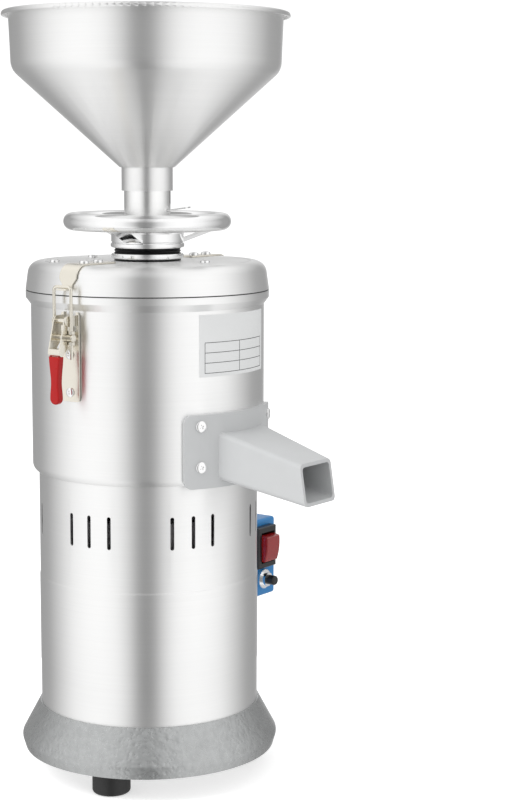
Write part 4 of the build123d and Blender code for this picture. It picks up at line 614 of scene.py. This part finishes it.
class GRINDER_OT_handwheel(Operator):
    """Handwheel ring, hub, spokes, lock ring and threaded neck"""

    bl_idname = "grinder.handwheel"
    bl_label = "Handwheel"

    def execute(self, context):
        sizes = context.scene.grinder_sizes
        plate = chrome()
        empty = bpy.data.meshes.new("ring_carrier")
        ring = grown_mesh("wheel_ring", ring_tree(plate), empty,
                          {"Ring Radius": sizes.wheel_ring, "Tube Radius": sizes.wheel_tube})
        low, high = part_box("handwheel_rim")
        ring.transform(Matrix.Translation((0, 0, (low.z + high.z) / 2)))
        piece = own_object("wheel_ring", ring, None, "handwheel")
        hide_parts("handwheel_rim")
        merged_copy("handwheel_hub", "wheel_hub", plate, degrees=25)
        merged_copy("handwheel_spokes", "wheel_spokes", plate, bevel=0.0006)
        merged_copy("lock_ring", "neck_lock_ring", plate, degrees=25)
        black = plain_finish("blackened_steel", (0.014, 0.014, 0.015), 0.6, 0.34, 600.0, spread=0.2, bump=0.1)
        merged_copy("threaded_neck", "neck_body", black)
        point = bpy.data.meshes.new("thread_foot")
        lid_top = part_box("lid")[1].z
        point.from_pydata([(0, 0, lid_top + 0.0060)], [], [])
        thread = grown_mesh("neck_thread", thread_tree(black), point, {
            "Radius": 0.0287, "Pitch": sizes.thread_pitch, "Turns": 2.6, "Crest": sizes.thread_depth,
            "Steps": 96})
        own_object("neck_thread", thread, None, ROOT)
        return {"FINISHED"}


class GRINDER_OT_latches(Operator):
    """Draw latches with their grips, rods and rivets"""

    bl_idname = "grinder.latches"
    bl_label = "Latches"

    def execute(self, context):
        look = settings()
        zinc = zinc_plate()
        vinyl = plain_finish("dipped_vinyl", tuple(look.grip), 0.0, 0.3, 160.0, spread=0.05, bump=0.04,
                             Specular_IOR_Level=0.3, Coat_Weight=0.12, Coat_Roughness=0.08)
        for n in (1, 2):
            for part, bevel in (("plate", 0.0003), ("strap", 0.0002), ("handle", 0.0002), ("barrel", 0.0),
                                ("bail", 0.0), ("nuts", 0.0002)):
                merged_copy(f"latch_{n}_{part}", f"latch_{n}_{part}_plated", zinc, bevel=bevel)
            merged_copy(f"latch_{n}_grip", f"latch_{n}_grip_dipped", vinyl, degrees=40)
        merged_copy("latch_pivot_pins", "latch_rivets", zinc)
        return {"FINISHED"}


class GRINDER_OT_screws(Operator):
    """Cross-recess screws on the spout, lid, latches and switch box"""

    bl_idname = "grinder.screws"
    bl_label = "Screws"

    def execute(self, context):
        sizes = context.scene.grinder_sizes
        plate = chrome()
        tree = screw_tree(unit_screw_head(sizes.recess_width, 0.55), plate)
        spout = [(around(90 + side * 26.8, 107.05, height), outward(90 + side * 26.8))
                 for side in (-1, 1) for height in (289.5, 324.4)]
        lid_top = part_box("lid")[1].z / MM
        lid = [(around(a, r, lid_top), UP) for a, r in ((90, 63.5), (-90, 63.5), (-31.4, 85.0))]
        lid += [(around(a, r, lid_top + 1.5), UP) for a in (0, 180) for r in (67.0, 85.0)]
        latch = [(around(a, 104.45, z), outward(a)) for a in (0, 180) for z in (351.8, 384.0)]
        cover = [(Vector((x, 141.0, z)) * MM, Vector((0, 1, 0))) for x in (-32, 32) for z in (145, 203)]
        for name, seats, radius, height, node, slot in (
            ("spout_cross_screws", spout, 0.0050, 0.0024, "spout_screws", "chrome"),
            ("lid_cross_screws", lid, 0.0042, 0.0026, "lid_screws", "chrome"),
            ("latch_cross_screws", latch, 0.0040, 0.0018, "latch_plate_screws", "zinc"),
            ("box_cross_screws", cover, 0.0034, 0.0016, "switch_box_screws", "chrome"),
        ):
            mesh = grown_mesh(name, tree, seat_points(name + "_seats", seats),
                              {"Head Radius": radius, "Head Height": height, "Seed": 5})
            piece = own_object(name, mesh, None, ROOT)
            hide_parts(node)
        return {"FINISHED"}


class GRINDER_OT_switch_box(Operator):
    """Blue switch box, rocker, reset button and cable gland"""

    bl_idname = "grinder.switch_box"
    bl_label = "Switch box"

    def execute(self, context):
        look = settings()
        blue = plain_finish("blue_moulding", tuple(look.box), 0.0, 0.36, 800.0, spread=0.04, bump=0.12,
                            Coat_Weight=0.15)
        merged_copy("switch_box", "box_moulding", blue, bevel=0.0003)
        merged_copy("switch_box_cover", "box_cover", blue, bevel=0.0003)
        black = black_plastic()
        merged_copy("rocker_housing", "rocker_bezel", black, bevel=0.0003)
        merged_copy("reset_plunger", "reset_button", black)
        merged_copy("cable_gland", "gland_moulding", black, bevel=0.0003)
        red = plain_finish("red_rocker_plastic", tuple(look.rocker), 0.0, 0.16, 300.0, spread=0.08, bump=0.03,
                           Transmission_Weight=0.25, Coat_Weight=0.5)
        merged_copy("rocker", "rocker_red", red, degrees=40)
        merged_copy("overload_breaker", "breaker_ring_nut", chrome(), degrees=30)
        return {"FINISHED"}


class GRINDER_OT_plate(Operator):
    """Bare rating plate with ruled boxes on the upper shell"""

    bl_idname = "grinder.plate"
    bl_label = "Bare plate"

    def execute(self, context):
        sizes = context.scene.grinder_sizes
        pale = plain_finish("plate_film", (0.90, 0.91, 0.91), 0.0, 0.35, 500.0, spread=0.02, bump=0.03)
        ink = plain_finish("plate_rules", (0.05, 0.05, 0.055), 0.0, 0.45, 500.0, spread=0.1, bump=0.02)
        shell, low, high, start, end = 102.80, 365.4, 418.0, 63.5, 112.5
        rule = sizes.plate_rule / MM
        sheet = curved_strip("plate_sheet", shell + 0.02, shell + 0.22, low, high, start, end)
        own_object("rating_plate_bare", sheet, pale, ROOT)
        half = math.degrees(rule / shell)
        strips = []
        for k in range(4):
            z = low + 3.0 + k * 8.6
            strips.append((z, z + rule, start + 3.0, end - 3.0))
        for azimuth in (start + 3.0, (start + end) / 2, end - 3.0):
            strips.append((low + 3.0, low + 3.0 + 3 * 8.6, azimuth - half / 2, azimuth + half / 2))
        meshes = [curved_strip(f"rule_{i}", shell + 0.2, shell + 0.27, a, b, c, d)
                  for i, (a, b, c, d) in enumerate(strips)]
        rules = joined("plate_rules", meshes)
        own_object("rating_plate_rules", rules, ink, ROOT)
        return {"FINISHED"}


def curved_strip(name, inner, outer, low, high, start, end):
    """A thin slab wrapped on the shell between two heights and two azimuths, in millimetres and degrees."""
    steps = max(2, int((end - start) / 1.5))
    work = bmesh.new()
    columns = []
    for k in range(steps + 1):
        azimuth = start + (end - start) * k / steps
        columns.append([work.verts.new(around(azimuth, radius, z))
                        for radius, z in ((inner, low), (outer, low), (outer, high), (inner, high))])
    for left, right in zip(columns, columns[1:]):
        for k in range(4):
            m = (k + 1) % 4
            work.faces.new((left[k], left[m], right[m], right[k]))
    work.faces.new(columns[0])
    work.faces.new(list(reversed(columns[-1])))
    bmesh.ops.recalc_face_normals(work, faces=work.faces)
    mesh = bpy.data.meshes.new(name)
    work.to_mesh(mesh)
    work.free()
    smooth_by_angle(mesh, 30)
    return mesh


def joined(name, meshes):
    """Several meshes as one."""
    work = bmesh.new()
    for mesh in meshes:
        work.from_mesh(mesh)
    made = bpy.data.meshes.new(name)
    work.to_mesh(made)
    work.free()
    smooth_by_angle(made, 30)
    return made


class GRINDER_OT_inner_parts(Operator):
    """Finishes of the grinding parts, the motor and what shows through the vents"""

    bl_idname = "grinder.inner_parts"
    bl_label = "Inner parts"

    def execute(self, context):
        cast = plain_finish("blasted_casting", (0.55, 0.55, 0.54), 1.0, 0.42, 500.0, spread=0.05, bump=0.2)
        paint(cast, "scraper_impeller", "adjusting_sleeve")
        ground = plain_finish("ground_steel", (0.52, 0.52, 0.52), 1.0, 0.28, 700.0, spread=0.05, bump=0.06)
        paint(ground, "grinding_rotor", "grinding_stator", "motor_shaft", "rotor_nut", "motor_bearings",
              "motor_bolts", "foot_screws", "bottom_cover")
        alloy = plain_finish("motor_alloy", (0.55, 0.55, 0.56), 0.9, 0.45, 400.0, spread=0.06, bump=0.25)
        paint(alloy, "motor_bottom_shield", "motor_top_shield", "run_capacitor")
        core = plain_finish("laminated_core", (0.16, 0.16, 0.17), 0.8, 0.5, 900.0, spread=0.1, bump=0.2)
        paint(core, "stator_core", "motor_rotor")
        copper = plain_finish("varnished_copper", (0.42, 0.17, 0.06), 0.8, 0.35, 600.0, spread=0.15, bump=0.3)
        paint(copper, "stator_windings")
        seal = plain_finish("seal_rubber", (0.03, 0.03, 0.03), 0.0, 0.6, 500.0, spread=0.2, bump=0.2)
        paint(seal, "lid_gasket", "shaft_seal")
        paint(black_plastic(), "cooling_fan")
        return {"FINISHED"}


class GRINDER_OT_stage(Operator):
    """Pale floor, soft studio light and the camera"""

    bl_idname = "grinder.stage"
    bl_label = "Stage"

    def execute(self, context):
        stage = context.scene.grinder_stage
        scene = context.scene
        scene.view_settings.view_transform = "Standard"
        half = stage.floor_size / 2
        mesh = bpy.data.meshes.new("floor")
        mesh.from_pydata([(-half, -half, 0), (half, -half, 0), (half, half, 0), (-half, half, 0)], [],
                         [(0, 1, 2, 3)])
        floor = bpy.data.objects.new("floor", mesh)
        scene.collection.objects.link(floor)
        floor.location.z = -0.0002
        floor.visible_glossy = False
        material, tree, shader = new_material("pale_floor")
        shader.inputs["Base Color"].default_value = (0.86, 0.86, 0.86, 1.0)
        shader.inputs["Roughness"].default_value = 1.0
        shader.inputs["Specular IOR Level"].default_value = 0.0
        glow = put(tree, "ShaderNodeEmission", {"Strength": 0.55})
        total = put(tree, "ShaderNodeAddShader")
        choose = put(tree, "ShaderNodeMixShader")
        ray = put(tree, "ShaderNodeLightPath")
        out = tree.nodes["Material Output"]
        tree.links.new(shader.outputs["BSDF"], total.inputs[0])
        tree.links.new(glow.outputs["Emission"], total.inputs[1])
        tree.links.new(ray.outputs["Is Camera Ray"], choose.inputs[0])
        tree.links.new(shader.outputs["BSDF"], choose.inputs[1])
        tree.links.new(total.outputs["Shader"], choose.inputs[2])
        tree.links.new(choose.outputs["Shader"], out.inputs["Surface"])
        mesh.materials.append(material)

        self.studio_walls(scene, stage.sky)
        lamp_data = bpy.data.lights.new("soft_lamp", "AREA")
        lamp_data.shape = "RECTANGLE"
        lamp_data.size, lamp_data.size_y = 1.6, 1.6
        lamp_data.energy = stage.key
        lamp = bpy.data.objects.new("soft_lamp", lamp_data)
        scene.collection.objects.link(lamp)
        lamp.location = (-0.9, -1.9, 2.3)
        lamp.rotation_mode = "QUATERNION"
        lamp.rotation_quaternion = (Vector((0, 0, 0.35)) - lamp.location).to_track_quat("-Z", "Y")
        lamp.visible_glossy = False

        lens = bpy.data.cameras.new("camera")
        lens.lens = stage.lens
        lens.sensor_width = 36.0
        lens.clip_end = 60.0
        camera = bpy.data.objects.new("camera", lens)
        scene.collection.objects.link(camera)
        camera.location = (1.0204, -1.2645, 0.5567)
        look = Vector((-0.5753, 0.8065, -0.1359)).to_track_quat("-Z", "Y")
        camera.rotation_mode = "QUATERNION"
        camera.rotation_quaternion = look @ Quaternion((0, 0, 1), math.radians(0.17))
        scene.camera = camera
        return {"FINISHED"}

    @staticmethod
    def studio_walls(scene, sky):
        """White all round for the camera; bright panels with a dark gap between them for reflections."""
        world = bpy.data.worlds.new("studio")
        scene.world = world
        world.use_nodes = True
        tree = world.node_tree
        link = tree.links.new
        back = tree.nodes["Background"]
        place = put(tree, "ShaderNodeTexCoord")
        flat = put(tree, "ShaderNodeVectorMath", {1: (1.0, 1.0, 0.0)}, operation="MULTIPLY")
        unit = put(tree, "ShaderNodeVectorMath", operation="NORMALIZE")
        toward = put(tree, "ShaderNodeVectorMath", {1: (0.5807, -0.8141, 0.0)}, operation="DOT_PRODUCT")
        angle = put(tree, "ShaderNodeMath", operation="ARCCOSINE")
        part = put(tree, "ShaderNodeMath", {1: math.pi}, operation="DIVIDE")
        across = put(tree, "ShaderNodeVectorMath", {1: (0.8141, 0.5807, 0.0)}, operation="DOT_PRODUCT")
        side = put(tree, "ShaderNodeMath", operation="ABSOLUTE")
        height = put(tree, "ShaderNodeSeparateXYZ")
        walls = ramp(tree, (
            (0, 0.25), (8 / 180, 0.31), (18 / 180, 0.64), (32 / 180, 0.92), (50 / 180, 1.0), (66 / 180, 0.98),
            (84 / 180, 0.88), (104 / 180, 0.62), (128 / 180, 0.35), (158 / 180, 0.31), (172 / 180, 0.6), (1, 0.72)))
        below = ramp(tree, ((0, 0.18), (0.08, 0.22), (0.16, 0.52), (0.27, 0.86), (0.4, 0.95), (1, 0.8)))
        above = ramp(tree, ((0, 0.42), (0.1, 0.6), (0.25, 0.95), (1, 1.0)))
        link(place.outputs["Generated"], flat.inputs[0])
        link(flat.outputs["Vector"], unit.inputs[0])
        link(unit.outputs["Vector"], toward.inputs[0])
        link(toward.outputs["Value"], angle.inputs[0])
        link(angle.outputs["Value"], part.inputs[0])
        link(part.outputs["Value"], walls.inputs["Fac"])
        link(place.outputs["Generated"], across.inputs[0])
        link(across.outputs["Value"], side.inputs[0])
        link(side.outputs["Value"], below.inputs["Fac"])
        link(side.outputs["Value"], above.inputs["Fac"])
        link(place.outputs["Generated"], height.inputs[0])
        with_floor = blended(tree, ranged(tree, height.outputs["Z"], 0.0, 1.0, -0.45, -0.85),
                             walls.outputs["Color"], below.outputs["Color"])
        room = blended(tree, ranged(tree, height.outputs["Z"], 0.0, 1.0, 0.3, 0.75), with_floor,
                       above.outputs["Color"])
        ray = put(tree, "ShaderNodeLightPath")
        even = put(tree, "ShaderNodeRGB")
        even.outputs[0].default_value = (sky, sky, sky, 1)
        white = put(tree, "ShaderNodeRGB")
        white.outputs[0].default_value = (1, 1, 1, 1)
        lit = blended(tree, ray.outputs["Is Glossy Ray"], even.outputs[0], room)
        seen = blended(tree, ray.outputs["Is Camera Ray"], lit, white.outputs[0])
        link(seen, back.inputs["Color"])
        back.inputs["Strength"].default_value = 1.1


PIECE_OPERATORS = (
    GRINDER_OT_sheet_metal,
    GRINDER_OT_castings,
    GRINDER_OT_handwheel,
    GRINDER_OT_latches,
    GRINDER_OT_screws,
    GRINDER_OT_switch_box,
    GRINDER_OT_plate,
    GRINDER_OT_inner_parts,
    GRINDER_OT_stage,
)


class GRINDER_PT_panel(Panel):
    """Lists the groups of pieces"""

    bl_label = "Peanut butter machine"
    bl_idname = "GRINDER_PT_panel"
    bl_space_type = "VIEW_3D"
    bl_region_type = "UI"
    bl_category = "Grinder"

    def draw(self, context):
        for group in (context.scene.grinder_finishes, context.scene.grinder_sizes, context.scene.grinder_stage):
            column = self.layout.column(align=True)
            for name in group.__annotations__:
                column.prop(group, name)
        for operator in PIECE_OPERATORS:
            self.layout.operator(operator.bl_idname)


CLASSES = (GrinderFinishes, GrinderSizes, GrinderStage, *PIECE_OPERATORS, GRINDER_PT_panel)


def register():
    for cls in CLASSES:
        bpy.utils.register_class(cls)
    bpy.types.Scene.grinder_finishes = PointerProperty(type=GrinderFinishes)
    bpy.types.Scene.grinder_sizes = PointerProperty(type=GrinderSizes)
    bpy.types.Scene.grinder_stage = PointerProperty(type=GrinderStage)


def unregister():
    del bpy.types.Scene.grinder_stage
    del bpy.types.Scene.grinder_sizes
    del bpy.types.Scene.grinder_finishes
    for cls in reversed(CLASSES):
        bpy.utils.unregister_class(cls)


def main():
    register()
    for operator in PIECE_OPERATORS:
        group, name = operator.bl_idname.split(".")
        getattr(getattr(bpy.ops, group), name)()


if __name__ == "__main__":
    main()
